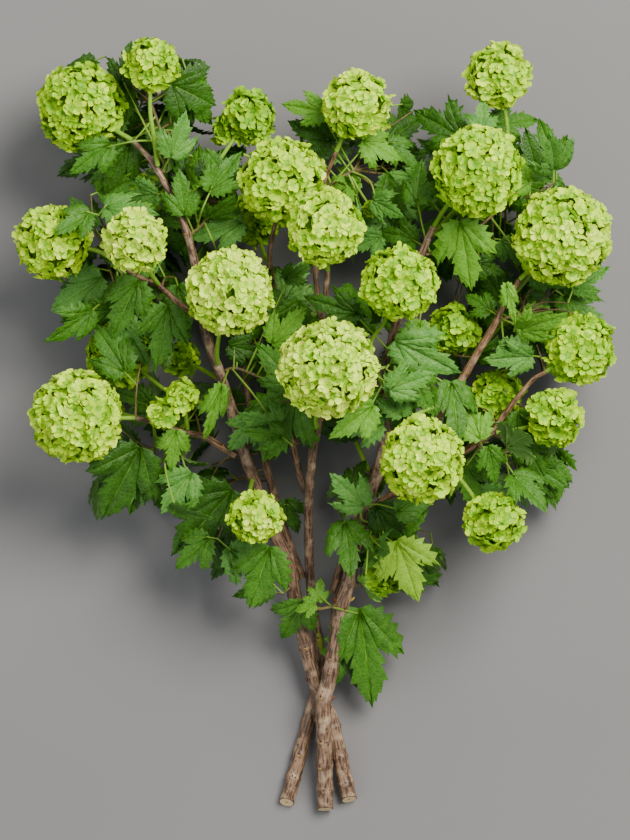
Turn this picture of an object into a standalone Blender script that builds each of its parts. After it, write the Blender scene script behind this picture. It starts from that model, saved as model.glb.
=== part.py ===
"""A bunch of three cut snowball viburnum branches in flower, lying flat on a floor.

Feet point towards -Y and the crown towards +Y. +Z is up from the floor.
Places are read off a plan with its corner at the top left: right, down, and height in millimetres.
"""

import math
import random

import bmesh
import bpy
from mathutils import Vector
from mathutils.bvhtree import BVHTree

MM = 0.001
PLAN_STEP = 0.8
PLAN_MIDDLE = (315.5, 428.5)
GAP = 0.3
CUT_SLANT = 0.6
LEAF_THICK = 1.5
PETIOLE_R = 0.8
TWIG_R = 1.5
LONGEST_PETIOLE = 62
CROWN_MIDDLE = 100
FLORETS_ON_BIG_HEAD = 62
FLORETS_ON_SMALL_HEAD = 44

# Woody limbs: name, what it grows from, sides, route of (right, down, height, radius)
LIMBS = [
    ("middle_stem", None, 7, [
        (286, 811, 6.66, 6.6), (300, 760, 7.2, 6.1), (312, 712, 8, 5.3), (321, 672, 12, 4.6),
        (319, 650, 16, 4.5), (313, 611, 26, 4.3), (309.7, 573, 40, 4.0), (308.8, 535, 56, 3.9),
        (308.8, 496, 74, 3.8), (312.6, 454, 96, 3.6), (318, 425, 112, 3.3), (322, 380, 124, 2.8),
        (325, 330, 136, 2.6), (326, 295, 146, 2.4), (327.6, 272, 154, 2.2)]),
    ("left_stem", None, 8, [
        (350, 808, 7.4, 6.8), (340, 762, 13, 6.6), (331, 725, 17.4, 6.5), (320, 700, 20.3, 6.3),
        (311, 672, 24, 6.2), (303, 640, 29.5, 6.0), (295, 602, 38, 5.8), (288, 563, 48, 5.6),
        (274, 535, 56, 5.5), (257, 491, 68, 5.2), (244, 454, 80, 5.0), (232, 412, 93, 4.6),
        (218, 369, 106, 4.2), (204, 326, 116, 3.9), (194, 259, 128, 3.4), (180, 214, 134, 3.0),
        (163, 180, 136, 2.6), (148, 157, 133, 2.2), (133, 141, 130, 1.8)]),
    ("right_stem", None, 8, [
        (325.5, 818, 7.9, 7.0), (324.5, 762, 21.3, 6.8), (323.5, 707, 34.6, 6.7), (328, 688, 36.6, 6.6),
        (334, 659, 41, 6.4), (338, 630, 46, 6.4), (341, 607, 52, 7.4), (349, 583, 58, 6.0),
        (355, 554, 66, 5.6), (362, 525, 75, 5.4), (370, 496, 84, 5.2), (380, 468, 93, 5.0),
        (386, 430, 104, 4.8), (383, 384, 116, 4.2), (390, 349, 124, 3.8), (402, 300, 131, 3.4),
        (420, 257, 135, 3.1), (433, 228, 138, 2.7)]),
    ("back_right_bough", "right_stem", 6, [
        (337, 610, 50, 3.7), (333, 598, 47, 3.7), (341, 569, 45, 3.6), (353, 539, 47, 3.5),
        (366, 493, 52, 3.3), (385, 450, 58, 3.0), (405, 410, 62, 2.7), (425, 375, 68, 2.4),
        (440, 350, 74, 2.0)]),
    ("back_left_bough", "middle_stem", 6, [
        (311, 600, 31, 3.5), (300, 575, 33, 3.5), (288, 544, 37, 3.4), (272, 491, 43, 3.2),
        (263, 458, 48, 3.0), (253, 426, 52, 2.8), (245, 384, 56, 2.4), (243, 345, 60, 2.0)]),
    ("upper_back_bough", "middle_stem", 6, [
        (308.8, 505, 70, 2.9), (297, 465, 68, 2.9), (285, 400, 72, 2.7), (278, 310, 78, 2.4),
        (270, 267, 84, 2.2), (271, 241, 90, 2.0), (277, 215, 98, 1.7)]),
    ("top_bough", "middle_stem", 6, [
        (325, 330, 136, 2.4), (318, 300, 122, 2.3), (315, 250, 108, 2.2), (320, 210, 106, 2.1),
        (325, 180, 110, 1.9), (336, 152, 118, 1.6)]),
    ("right_bough", "right_stem", 6, [
        (370, 496, 84, 4.2), (388, 472, 90, 4.1), (410, 447, 98, 4.0), (440, 413, 107, 3.8),
        (461, 381, 112, 3.5), (481, 347, 115, 3.1), (495, 324, 118, 3.0), (502, 308, 120, 2.5),
        (519, 280, 124, 2.0)]),
    ("far_right_bough", "right_stem", 6, [
        (363, 520, 76, 3.2), (385, 500, 78, 3.2), (410, 485, 82, 3.1), (435, 468, 90, 3.0),
        (465, 452, 96, 2.9), (491, 434, 100, 2.7), (504, 416, 103, 2.4), (520, 395, 106, 2.2),
        (534, 379, 108, 1.9), (546, 372, 110, 1.6)]),
    ("lower_left_bough", "left_stem", 6, [
        (246, 462, 78, 3.0), (220, 447, 84, 2.9), (204, 437, 90, 2.7), (184, 432, 96, 2.5),
        (151, 422, 104, 2.2), (135, 418, 108, 1.9)]),
    ("upper_left_bough", "left_stem", 6, [
        (205, 330, 115, 2.9), (192, 314, 114, 2.8), (175, 300, 110, 2.6), (159, 286, 108, 2.4),
        (135, 275, 106, 2.1), (108, 256, 106, 1.7)]),
]

# Flower heads: name, what it grows from, balls of (right, down, height, radius), flatness, stalk route
HEADS = [
    ("head_top_left", "left_stem", [(81, 106, 118, 35.5)], 1.0, [(133, 141, 130), (115, 130, 126)]),
    ("head_top_left_small", "left_stem", [(153, 66, 150, 22)], 1.0,
     [(159, 173, 136), (155, 141, 144), (151, 110, 148)]),
    ("head_top_back", "left_stem", [(248, 115, 88, 22.5), (223, 127, 85, 11)], 1.0,
     [(180, 214, 134), (190, 195, 126), (204, 178, 114), (216, 163, 104), (231, 141, 94)]),
    ("head_left", "upper_left_bough", [(52, 243, 108, 30.5)], 1.0, [(108, 256, 106), (95, 250, 107)]),
    ("head_left_inner", "upper_left_bough", [(137, 242, 170, 25.6)], 1.0,
     [(159, 286, 108), (150, 272, 128), (143, 255, 148)]),
    ("head_left_back", "left_stem", [(135, 194, 68, 22.5)], 1.0,
     [(163, 180, 136), (150, 178, 118), (141, 186, 96)]),
    ("head_upper_middle", "upper_back_bough", [(283, 183, 150, 34.5)], 1.0,
     [(277, 215, 98), (280, 205, 110)]),
    ("head_upper_middle_back", "upper_back_bough", [(254, 217, 58, 22)], 1.0,
     [(270, 267, 84), (262, 248, 74)]),
    ("head_upper_front", "middle_stem", [(325, 231, 190, 30.5)], 1.0, [(327.6, 272, 154), (327, 255, 166)]),
    ("head_top_middle", "top_bough", [(357, 106, 128, 28)], 1.0, [(336, 152, 118), (345, 132, 122)]),
    ("head_top_right", "right_stem", [(499, 75, 118, 27)], 1.0,
     [(426, 243, 137), (460, 205, 116), (490, 175, 108), (507, 141, 110), (505, 108, 114)]),
    ("head_upper_right", "right_stem", [(476, 174, 182, 36)], 1.0,
     [(433, 228, 138), (446, 207, 152), (457, 194, 162)]),
    ("head_right", "right_bough", [(562, 237, 138, 40)], 1.0, [(519, 280, 124), (533, 266, 128)]),
    ("head_centre_right", "right_stem", [(398, 285, 187, 31)], 0.93,
     [(386, 392, 114), (374, 365, 138), (371, 342, 152), (384, 322, 164)]),
    ("head_centre_left", "left_stem", [(231, 293, 188, 35)], 1.0,
     [(218, 369, 106), (217, 352, 128), (221, 330, 150)]),
    ("head_centre", "middle_stem", [(328, 370, 205, 40)], 0.96,
     [(317, 432, 109), (316, 418, 130), (321, 402, 152)]),
    ("head_lower_right", "right_bough", [(421, 460, 184, 34)], 1.0,
     [(455, 390, 111), (440, 404, 134), (419, 413, 146), (405, 424, 154), (408, 442, 166)]),
    ("head_right_back", "back_right_bough", [(454, 329, 84, 20.8)], 1.0, [(440, 350, 74), (447, 340, 79)]),
    ("head_far_right", "far_right_bough", [(581, 348, 112, 29)], 1.05, [(546, 372, 110), (560, 362, 111)]),
    ("head_right_low", "far_right_bough", [(555, 418, 120, 22.8)], 1.06,
     [(491, 434, 100), (510, 431, 106), (532, 426, 114)]),
    ("head_right_lowest", "far_right_bough", [(493, 522, 122, 25)], 0.95,
     [(438, 467, 91), (459, 478, 102), (476, 500, 114)]),
    ("head_right_inner", "far_right_bough", [(500, 396, 66, 22.4)], 1.0, [(486, 438, 99), (492, 420, 84)]),
    ("head_lower_left", "lower_left_bough", [(77, 418, 126, 37.6)], 1.0, [(135, 418, 108), (122, 418, 112)]),
    ("head_left_low_back", "left_stem", [(117, 355, 74, 27)], 1.0,
     [(232, 412, 93), (205, 404, 84), (170, 393, 78), (140, 371, 76)]),
    ("head_lower_left_small", "lower_left_bough", [(182, 396, 124, 13.6), (162, 413, 124, 13)], 1.0,
     [(187, 432, 96), (185, 412, 110)]),
    ("head_left_middle_small", "left_stem", [(180, 358, 74, 15)], 1.0, [(222, 381, 102), (203, 370, 88)]),
    ("head_low_middle", "left_stem", [(256, 517, 128, 22.2)], 0.94, [(252, 478, 73), (250, 492, 96)]),
    ("head_low_right_back", "right_stem", [(385, 578, 62, 17)], 1.0,
     [(358, 541, 70), (372, 536, 74), (384, 552, 68)]),
    ("head_under_centre", "back_right_bough", [(335, 372, 29, 29)], 1.0, [(372, 478, 54), (352, 430, 42)]),
    ("head_under_left", "back_left_bough", [(228, 298, 28, 28)], 1.0, [(243, 345, 60), (237, 325, 46)]),
    ("head_under_upper_right", "right_stem", [(470, 176, 27, 27)], 1.0,
     [(408, 286, 132), (422, 250, 98), (445, 208, 58)]),
    ("head_under_right", "right_bough", [(550, 250, 28, 28)], 1.0, [(503, 306, 120), (522, 286, 84), (538, 266, 52)]),
    ("head_under_lower_left", "lower_left_bough", [(86, 408, 27, 27)], 1.0,
     [(146, 421, 105), (128, 416, 78), (108, 411, 48)]),
    ("head_under_lower_right", "back_right_bough", [(424, 456, 27, 27)], 1.0, [(396, 428, 60), (410, 442, 46)]),
    ("head_under_upper_middle", "top_bough", [(292, 172, 26, 26)], 1.0, [(320, 205, 106), (311, 190, 70)]),
    ("head_under_top_left", "left_stem", [(92, 112, 25, 25)], 1.0,
     [(148, 157, 133), (128, 138, 88), (108, 124, 48)]),
]

# Leaf masses: name, what it grows from, space (left, top, low, right, bottom, high),
# shoot route, leaves of (base right, down, height, tip right, down, height, width over length), filling leaves
MASSES = [
    ("leaves_top_left", "left_stem", (48, 36, 4, 218, 205, 165),
     [(163, 180, 136), (164, 158, 124), (160, 130, 118), (150, 100, 116)],
     [(172, 85, 132, 216, 107, 124, 1.3), (120, 84, 108, 130, 40, 104, 0.8),
      (104, 148, 88, 55, 176, 78, 0.8), (130, 143, 116, 104, 194, 104, 0.75),
      (150, 140, 104, 176, 112, 96, 0.9)], 9),
    ("leaves_upper_left", "left_stem", (150, 140, 4, 246, 262, 160),
     [(188, 237, 131), (204, 222, 116), (214, 200, 108)],
     [(186, 200, 118, 226, 150, 112, 1.0), (243, 222, 122, 188, 236, 118, 0.8)], 11),
    ("leaves_left", "upper_left_bough", (44, 190, 4, 190, 372, 160),
     [(137, 276, 106), (126, 284, 92), (112, 290, 84)],
     [(100, 276, 96, 48, 307, 88, 0.85), (139, 280, 122, 109, 338, 116, 0.85),
      (94, 226, 78, 66, 195, 74, 0.8), (169, 306, 140, 156, 367, 132, 0.85)], 10),
    ("leaves_lower_left", "lower_left_bough", (84, 380, 4, 225, 524, 160),
     [(182, 432, 96), (170, 442, 84), (150, 450, 78)],
     [(140, 447, 100, 100, 520, 84, 0.95), (176, 430, 112, 171, 472, 100, 0.75),
       (150, 405, 62, 112, 392, 56, 0.8)], 8),
    ("leaves_middle_left", "left_stem", (225, 255, 4, 312, 465, 160),
     [(219, 372, 105), (236, 368, 94), (262, 378, 92), (284, 388, 94)],
     [(222, 385, 132, 206, 443, 124, 0.45), (228, 345, 96, 268, 356, 92, 0.8), (302, 393, 122, 264, 461, 112, 0.95),
      (300, 300, 112, 282, 342, 104, 0.8), (284, 280, 118, 312, 262, 112, 0.8)], 10),
    ("leaves_low_left", "left_stem", (168, 462, 4, 312, 612, 150),
     [(264, 509, 64), (248, 506, 66), (240, 512, 70)],
     [(232, 490, 84, 171, 557, 70, 0.95), (270, 547, 98, 248, 609, 84, 0.9),
      (286, 500, 54, 298, 536, 46, 0.8)], 6),
    ("leaves_foot", "right_stem", (270, 535, 8, 396, 714, 110),
     [(341, 606, 54), (330, 609, 66), (316, 612, 66)],
     [(350, 611, 76, 366, 712, 58, 0.75), (316, 606, 64, 293, 612, 58, 0.9),
      (318, 604, 60, 322, 580, 56, 0.9), (303, 604, 56, 282, 646, 40, 0.95)], 2),
    ("leaves_low_right", "right_stem", (330, 440, 8, 445, 606, 150),
     [(359, 536, 72), (372, 524, 84), (388, 520, 86)],
     [(376, 506, 96, 408, 542, 86, 0.9), (396, 512, 104, 436, 500, 100, 0.8),
      (397, 541, 96, 420, 602, 86, 0.95), (352, 488, 76, 366, 458, 66, 0.8),
      (384, 542, 90, 364, 572, 84, 0.7)], 6),
    ("leaves_centre", "right_stem", (298, 285, 4, 465, 450, 178),
     [(382, 376, 117), (394, 366, 132), (402, 352, 140)],
     [(384, 424, 128, 338, 430, 118, 0.85), (402, 417, 138, 386, 374, 146, 0.8),
      (394, 341, 152, 458, 376, 142, 0.75), (359, 315, 164, 303, 300, 158, 0.65)], 11),
    ("leaves_upper_middle", "top_bough", (278, 85, 4, 436, 262, 150),
     [(323, 190, 108), (338, 178, 100), (356, 168, 98)],
     [(327, 112, 108, 281, 104, 104, 0.75), (333, 140, 98, 287, 120, 88, 0.85),
      (362, 140, 110, 402, 158, 104, 0.9), (361, 181, 92, 323, 183, 86, 0.85),
      (382, 236, 104, 350, 250, 96, 0.9)], 10),
    ("leaves_upper_right", "right_stem", (410, 88, 4, 584, 295, 165),
     [(420, 257, 135), (446, 248, 126), (480, 226, 116), (508, 200, 100)],
     [(420, 180, 116, 388, 172, 112, 0.6), (418, 240, 112, 377, 230, 104, 0.9),
      (462, 138, 120, 413, 110, 110, 1.0), (480, 134, 128, 483, 99, 122, 0.9),
      (459, 222, 150, 471, 292, 138, 0.85), (515, 165, 96, 546, 142, 88, 0.85),
      (512, 188, 86, 548, 182, 76, 0.8), (534, 122, 112, 577, 166, 100, 0.9),
      (475, 262, 112, 506, 274, 104, 0.8)], 9),
    ("leaves_right", "right_bough", (460, 255, 4, 614, 372, 150),
     [(496, 322, 118), (506, 318, 108), (526, 312, 100)],
     [(505, 284, 142, 516, 325, 136, 0.45), (492, 312, 104, 466, 292, 96, 0.85),
      (520, 312, 112, 560, 342, 104, 0.9), (499, 345, 106, 534, 356, 98, 0.75),
      (553, 290, 100, 606, 298, 92, 0.65), (588, 280, 92, 612, 258, 88, 0.8)], 6),
    ("leaves_lower_right", "far_right_bough", (446, 392, 4, 570, 514, 150),
     [(478, 443, 98), (484, 452, 110), (500, 454, 104), (520, 448, 98)],
     [(480, 440, 132, 464, 398, 128, 0.85), (488, 446, 118, 497, 485, 110, 0.75),
      (464, 462, 92, 478, 511, 82, 0.9), (522, 436, 104, 544, 480, 96, 0.8),
      (528, 455, 88, 561, 502, 80, 0.6)], 7),
]

# Half of a lobed blade as (share of length, share of width), from the stalk round to the tip
BLADE_FULL = [(0.0, 0.22), (0.44, 0.50), (0.52, 0.24), (0.74, 0.20)]
BLADE_PLAIN = [(0.05, 0.30), (0.48, 0.46), (0.62, 0.20)]

COLOURS = {
    "bark": (0.30, 0.20, 0.14, 1),
    "flowers": (0.62, 0.75, 0.30, 1),
    "leaves": (0.10, 0.25, 0.05, 1),
}


def clear_objects():
    for obj in list(bpy.data.objects):
        bpy.data.objects.remove(obj)


def place(point):
    right, down, height = point[:3]
    x = (right - PLAN_MIDDLE[0]) * PLAN_STEP
    y = (PLAN_MIDDLE[1] - down) * PLAN_STEP
    return Vector((x, y, height))


def tube_mesh(route, sides, foot_slant=0.0):
    """A closed tapering tube through (point, radius) pairs, turned so that one corner faces up."""
    mesh = bmesh.new()
    points = [point for point, _ in route]
    side = None
    rings = []
    for i, (point, radius) in enumerate(route):
        ahead = points[min(i + 1, len(points) - 1)] - points[max(i - 1, 0)]
        ahead.normalize()
        if side is None:
            side = Vector((0, 0, 1)) if abs(ahead.z) < 0.9 else Vector((1, 0, 0))
        side = (side - ahead * side.dot(ahead)).normalized()
        across = ahead.cross(side)
        ring = []
        for k in range(sides):
            turn = 2 * math.pi * k / sides + (math.pi / sides if sides % 2 else 0)
            corner = point + (side * math.cos(turn) + across * math.sin(turn)) * radius
            if i == 0 and foot_slant:
                corner += ahead * (corner.z - point.z) * foot_slant
            ring.append(mesh.verts.new(corner))
        rings.append(ring)
    for low, high in zip(rings, rings[1:]):
        for k in range(sides):
            mesh.faces.new((low[k], low[(k + 1) % sides], high[(k + 1) % sides], high[k]))
    mesh.faces.new(list(reversed(rings[0])))
    mesh.faces.new(rings[-1])
    bmesh.ops.recalc_face_normals(mesh, faces=mesh.faces)
    return mesh


def ball_mesh(centre, radius, flatness, count, seed):
    """A lumpy closed ball whose corners stand where the florets sit."""
    rng = random.Random(seed)
    mesh = bmesh.new()
    golden = math.pi * (3 - math.sqrt(5))
    for i in range(count):
        z = 1 - 2 * (i + 0.5) / count
        ring = math.sqrt(1 - z * z)
        turn = golden * i + seed
        mesh.verts.new((ring * math.cos(turn), ring * math.sin(turn), z))
    bmesh.ops.convex_hull(mesh, input=mesh.verts)
    for vert in mesh.verts:
        swell = radius * (0.985 + 0.03 * rng.random())
        vert.co = Vector((vert.co.x, vert.co.y * flatness, vert.co.z)) * swell + centre
    floor_depth = min(vert.co.z for vert in mesh.verts)
    if floor_depth < 1.0:
        for vert in mesh.verts:
            vert.co.z -= floor_depth
    bmesh.ops.recalc_face_normals(mesh, faces=mesh.faces)
    return mesh


def leaf_outline(base, tip, width, normal, half):
    """The rim of a lobed blade and its middle, gently cupped, with the way its upper side faces."""
    along = tip - base
    length = along.length
    along = along / length
    normal = (normal - along * normal.dot(along)).normalized()
    across = normal.cross(along)
    outline = [(0.0, 0.0)]
    outline += half
    outline.append((1.0, 0.0))
    outline += [(u, -v) for u, v in reversed(half)]
    spots = []
    for u, v in outline + [(0.40, 0.0)]:
        lift = 0.10 * length * abs(v) * 2 - 0.10 * length * u * u
        spots.append(base + along * (u * length) + across * (v * width * length) + normal * lift)
    return spots[:-1], spots[-1], normal


def leaf_mesh(base, tip, width, normal, half, thick=LEAF_THICK):
    """A closed blade, thickest in its middle and thin at its rim."""
    mesh = bmesh.new()
    rim, middle, up = leaf_outline(base, tip, width, normal, half)
    edge = [mesh.verts.new(spot) for spot in rim]
    top = mesh.verts.new(middle + up * thick / 2)
    low = mesh.verts.new(middle - up * thick / 2)
    for k in range(len(edge)):
        n = (k + 1) % len(edge)
        mesh.faces.new((top, edge[k], edge[n]))
        mesh.faces.new((low, edge[n], edge[k]))
    bmesh.ops.recalc_face_normals(mesh, faces=mesh.faces)
    return mesh


class Taken:
    """Everything already placed, so that a new piece can be tested against it."""

    def __init__(self):
        self.items = []
        self.balls = []

    def add(self, mesh, owner):
        centre, reach = bounding(mesh)
        self.items.append((BVHTree.FromBMesh(mesh), centre, reach, owner))

    def touches(self, mesh, skip=()):
        centre, reach = bounding(mesh)
        if any((centre - ball).length < radius for ball, radius in self.balls):
            return True
        tree = None
        for other, other_centre, other_reach, owner in self.items:
            if owner in skip or (centre - other_centre).length > reach + other_reach:
                continue
            tree = tree or BVHTree.FromBMesh(mesh)
            if tree.overlap(other):
                return True
        return False


def bounding(mesh):
    low = Vector([min(vert.co[k] for vert in mesh.verts) for k in range(3)])
    high = Vector([max(vert.co[k] for vert in mesh.verts) for k in range(3)])
    return (low + high) / 2, (high - low).length / 2


def trimmed(route, cut):
    """The (point, radius) route with its first stretch taken off."""
    left = cut
    for i in range(len(route) - 1):
        start, end = route[i][0], route[i + 1][0]
        span = (end - start).length
        if span > left:
            share = left / span
            first = (start.lerp(end, share), route[i][1] * (1 - share) + route[i + 1][1] * share)
            return [first] + route[i + 1:]
        left -= span
    return None


def seated(route, sides, taken, parent):
    """Cuts the foot of a route back until the piece stands one gap clear of what it grows from."""
    parent_only = [item for item in taken.items if item[3] == parent]
    cut = 0.0
    while True:
        shorter = trimmed(route, cut)
        fat = [(point, radius + GAP) for point, radius in shorter]
        start, ahead = fat[0][0], (fat[1][0] - fat[0][0]).normalized()
        fat[0] = (start - ahead * GAP, fat[0][1])
        tree = BVHTree.FromBMesh(tube_mesh(fat, sides))
        if not any(tree.overlap(item[0]) for item in parent_only):
            if not any(below_surface(item[0], start) for item in parent_only):
                return shorter
        cut += 0.2


def below_surface(tree, point):
    spot, normal, _, _ = tree.find_nearest(point)
    return (point - spot).dot(normal) < 0


def object_from(mesh, name, slot, collection=None):
    data = bpy.data.meshes.new(name)
    bmesh.ops.scale(mesh, vec=(MM, MM, MM), verts=mesh.verts)
    mesh.to_mesh(data)
    mesh.free()
    for polygon in data.polygons:
        polygon.use_smooth = slot != "leaves"
    obj = bpy.data.objects.new(name, data)
    (collection or bpy.context.scene.collection).objects.link(obj)
    if slot:
        obj.data.materials.append(material(name, slot))
    return obj


def material(name, slot):
    made = bpy.data.materials.new(name + "_" + slot)
    made.use_nodes = True
    shader = made.node_tree.nodes["Principled BSDF"]
    shader.inputs["Base Color"].default_value = COLOURS[slot]
    shader.inputs["Roughness"].default_value = 0.6
    return made


def fused(name, slot, core, extras):
    """One solid: the core with every extra piece joined on."""
    base = object_from(core, name, slot)
    group = bpy.data.collections.new(name + "_pieces")
    bpy.context.scene.collection.children.link(group)
    for i, extra in enumerate(extras):
        object_from(extra, name + "_piece_" + str(i), None, group)
    join = base.modifiers.new("join", "BOOLEAN")
    join.operation = "UNION"
    join.operand_type = "COLLECTION"
    join.collection = group
    join.solver = "MANIFOLD"
    settled = bpy.context.evaluated_depsgraph_get()
    result = bpy.data.meshes.new_from_object(base.evaluated_get(settled))
    base.modifiers.clear()
    base.data = result
    for obj in list(group.objects):
        bpy.data.objects.remove(obj)
    bpy.data.collections.remove(group)
    keep_largest(base)
    return base


def keep_largest(obj):
    """Drops loose scraps and fills sealed hollows, so that the solid is one closed piece."""
    mesh = bmesh.new()
    mesh.from_mesh(obj.data)
    bmesh.ops.triangulate(mesh, faces=mesh.faces)
    left = set(mesh.faces)
    groups = []
    while left:
        start = left.pop()
        group = [start]
        waiting = [start]
        while waiting:
            face = waiting.pop()
            for edge in face.edges:
                for other in edge.link_faces:
                    if other in left:
                        left.discard(other)
                        group.append(other)
                        waiting.append(other)
        groups.append(group)
    groups.sort(key=len, reverse=True)
    scraps = [face for group in groups[1:] for face in group]
    if scraps:
        bmesh.ops.delete(mesh, geom=scraps, context="FACES")
    mesh.to_mesh(obj.data)
    mesh.free()


def build_limbs(taken):
    for name, parent, sides, plan in LIMBS:
        route = [(place(row), row[3]) for row in plan]
        if parent:
            route = seated(route, sides, taken, parent)
        mesh = tube_mesh(route, sides, 0.0 if parent else CUT_SLANT)
        taken.add(mesh, name)
        object_from(mesh, name, "bark")


def build_heads(taken):
    for number, (name, parent, balls, flatness, stalk) in enumerate(HEADS):
        centre = place(balls[0])
        points = [place(spot) for spot in stalk]
        last = points[-1]
        sunk = centre + (last - centre).normalized() * balls[0][3] * 0.35
        radii = [2.0 - 0.5 * i / len(points) for i in range(len(points))] + [1.4]
        route = seated(list(zip(points + [sunk], radii)), 5, taken, parent)
        pieces = []
        for k, (right, down, height, radius) in enumerate(balls):
            count = FLORETS_ON_BIG_HEAD if radius > 24 else FLORETS_ON_SMALL_HEAD
            if radius < 16:
                count = 36
            middle = place((right, down, height))
            pieces.append(ball_mesh(middle, radius, flatness, count, number * 3 + k))
            taken.balls.append((middle, radius))
        pieces.append(tube_mesh(route, 5))
        for piece in pieces:
            taken.add(piece, name)
        fused(name, "flowers", pieces[0], pieces[1:])


def nearest_on(route, point):
    best = None
    for start, end in zip(route, route[1:]):
        along = end - start
        share = max(0.0, min(1.0, (point - start).dot(along) / along.length_squared))
        spot = start + along * share
        if best is None or (point - spot).length < (point - best).length:
            best = spot
    return best


def budding(route):
    """The stretch of a shoot that stalks spring from: all but its two ends."""
    points = [point for point, _ in route]
    first = (points[1] - points[0]).normalized() * 4
    last = (points[-2] - points[-1]).normalized() * 2
    return [points[0] + first] + points[1:-1] + [points[-1] + last]


def petiole(root, base, tip, bow):
    """A slender stalk from the shoot to the blade, bowed by the given shift, sunk into both."""
    sunk = base + (tip - base).normalized() * 5.0
    if bow.length < 1:
        return tube_mesh([(root, PETIOLE_R * 1.15), (sunk, PETIOLE_R * 0.8)], 3)
    mid = root.lerp(base, 0.5) + bow
    return tube_mesh([(root, PETIOLE_R * 1.15), (mid, PETIOLE_R), (sunk, PETIOLE_R * 0.8)], 3)


def petiole_ways(shoot, base):
    """Places on the shoot that a stalk may spring from, and how it may bow, easiest first."""
    roots = [nearest_on(shoot, base)]
    roots += [start.lerp(end, 0.5) for start, end in zip(shoot, shoot[1:])]
    roots.append(shoot[-1])
    across = (base - roots[0]).cross(Vector((0, 0, 1)))
    across = across.normalized() if across.length > 1 else Vector((1, 0, 0))
    up = Vector((0, 0, 1))
    for size in (0, 7, 14, 22):
        for root in roots:
            for way in (up, -up, across, -across) if size else (up,):
                yield root, way * size


def grow_leaf(name, shoot, base, tip, width, normal, half, taken, shifts):
    """Tries a leaf at a few places and keeps the first that touches nothing."""
    for shift in shifts:
        spot, end = base + shift, tip + shift
        if min(spot.z, end.z) < 3:
            continue
        fat = leaf_mesh(spot, end, width * 1.04, normal, half, LEAF_THICK + 4 * GAP)
        blocked = taken.touches(fat)
        fat.free()
        if blocked:
            continue
        for root, bow in petiole_ways(shoot, spot):
            stalk = petiole(root, spot, end, bow)
            if not taken.touches(stalk, skip=(name + "_shoot",)):
                return leaf_mesh(spot, end, width, normal, half), stalk
            stalk.free()
    return None


def shifts_for_leaf():
    """Small moves that a leaf may make to find room, nearest first."""
    moves = []
    for aside in (0, 4, 8):
        for lift in (0, 6, 12, 18, 24, 32, 40):
            for way in ((0, 0), (1, 0), (-1, 0), (0, 1), (0, -1)):
                if (way == (0, 0)) == (aside == 0):
                    moves.append(Vector((way[0] * aside, way[1] * aside, lift)))
                    moves.append(Vector((way[0] * aside, way[1] * aside, -lift)))
    return sorted(moves, key=lambda move: abs(move.z) + 4 * move.xy.length)


def clear_of_floor(mesh):
    return min(vert.co.z for vert in mesh.verts) > 0.5


def filling(shoot, space, rng):
    """A seeded leaf somewhere in the space around the shoot, pointing away from it."""
    low, high = place((space[0], space[4], space[2])), place((space[3], space[1], space[5]))
    base = Vector([rng.uniform(low[k], high[k]) for k in range(3)])
    root = nearest_on(shoot, base)
    away = base - root
    if not 8 < away.length < LONGEST_PETIOLE:
        return None
    wander = Vector([rng.uniform(-0.8, 0.8) for _ in range(3)])
    tip = base + (away.normalized() + wander).normalized() * rng.uniform(34, 50)
    if not all(low[k] <= tip[k] <= high[k] for k in range(3)):
        return None
    middle = (low + high) / 2
    out = (base + tip) / 2 - middle
    normal = Vector((out.x * 0.5, out.y * 0.5, (base.z - CROWN_MIDDLE) * 1.2 + rng.uniform(-10, 30)))
    normal += Vector([rng.uniform(-18, 18) for _ in range(3)])
    return base, tip, rng.uniform(0.75, 0.95), normal.normalized()


def tilt(rng):
    return Vector((rng.uniform(-0.3, 0.3), rng.uniform(-0.35, 0.2), 1)).normalized()


def build_masses(taken):
    shoots = {}
    moves = shifts_for_leaf()
    for name, parent, space, plan, leaves, fill in MASSES:
        points = [place(row) for row in plan]
        radii = [TWIG_R * (1 - 0.3 * i / len(points)) for i in range(len(points))]
        route = seated(list(zip(points, radii)), 5, taken, parent)
        mesh = tube_mesh(route, 5)
        taken.add(mesh, name + "_shoot")
        shoots[name] = (budding(route), mesh, [])
    for number, (name, parent, space, plan, leaves, fill) in enumerate(MASSES):
        shoot, mesh, pieces = shoots[name]
        rng = random.Random(100 + number)
        for row in leaves:
            base, tip = place(row[:3]), place(row[3:6])
            grown = grow_leaf(name, shoot, base, tip, row[6], tilt(rng), BLADE_FULL, taken, moves)
            if grown is None:
                continue
            for piece in grown:
                taken.add(piece, name)
                pieces.append(piece)
    for number, (name, parent, space, plan, leaves, fill) in enumerate(MASSES):
        shoot, mesh, pieces = shoots[name]
        rng = random.Random(200 + number)
        made = 0
        for _ in range(fill * 900):
            if made == fill:
                break
            leaf = filling(shoot, space, rng)
            if leaf is None:
                continue
            base, tip, width, normal = leaf
            grown = grow_leaf(name, shoot, base, tip, width, normal, BLADE_PLAIN, taken, moves[:1])
            if grown is None:
                continue
            if not all(clear_of_floor(piece) for piece in grown):
                continue
            for piece in grown:
                taken.add(piece, name)
                pieces.append(piece)
            made += 1
        fused(name, "leaves", mesh, pieces)


def main():
    clear_objects()
    taken = Taken()
    build_limbs(taken)
    build_heads(taken)
    build_masses(taken)


main()
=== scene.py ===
"""Snowball viburnum: a bunch of three cut flowering branches, lying on a pale studio floor.

The crown points to +Y, the cut ends to -Y and +Z is up. The growth works in millimetres and every
mesh is made in metres. The limbs, heads and leaves grow by the same rule and the same named places
as the solids in the frame, and each leafy mass is carried on to finer twigs and smaller leaves.
"""

import math
import random

import bmesh
import bpy
import numpy as np
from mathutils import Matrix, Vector, noise
from mathutils.bvhtree import BVHTree


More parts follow.
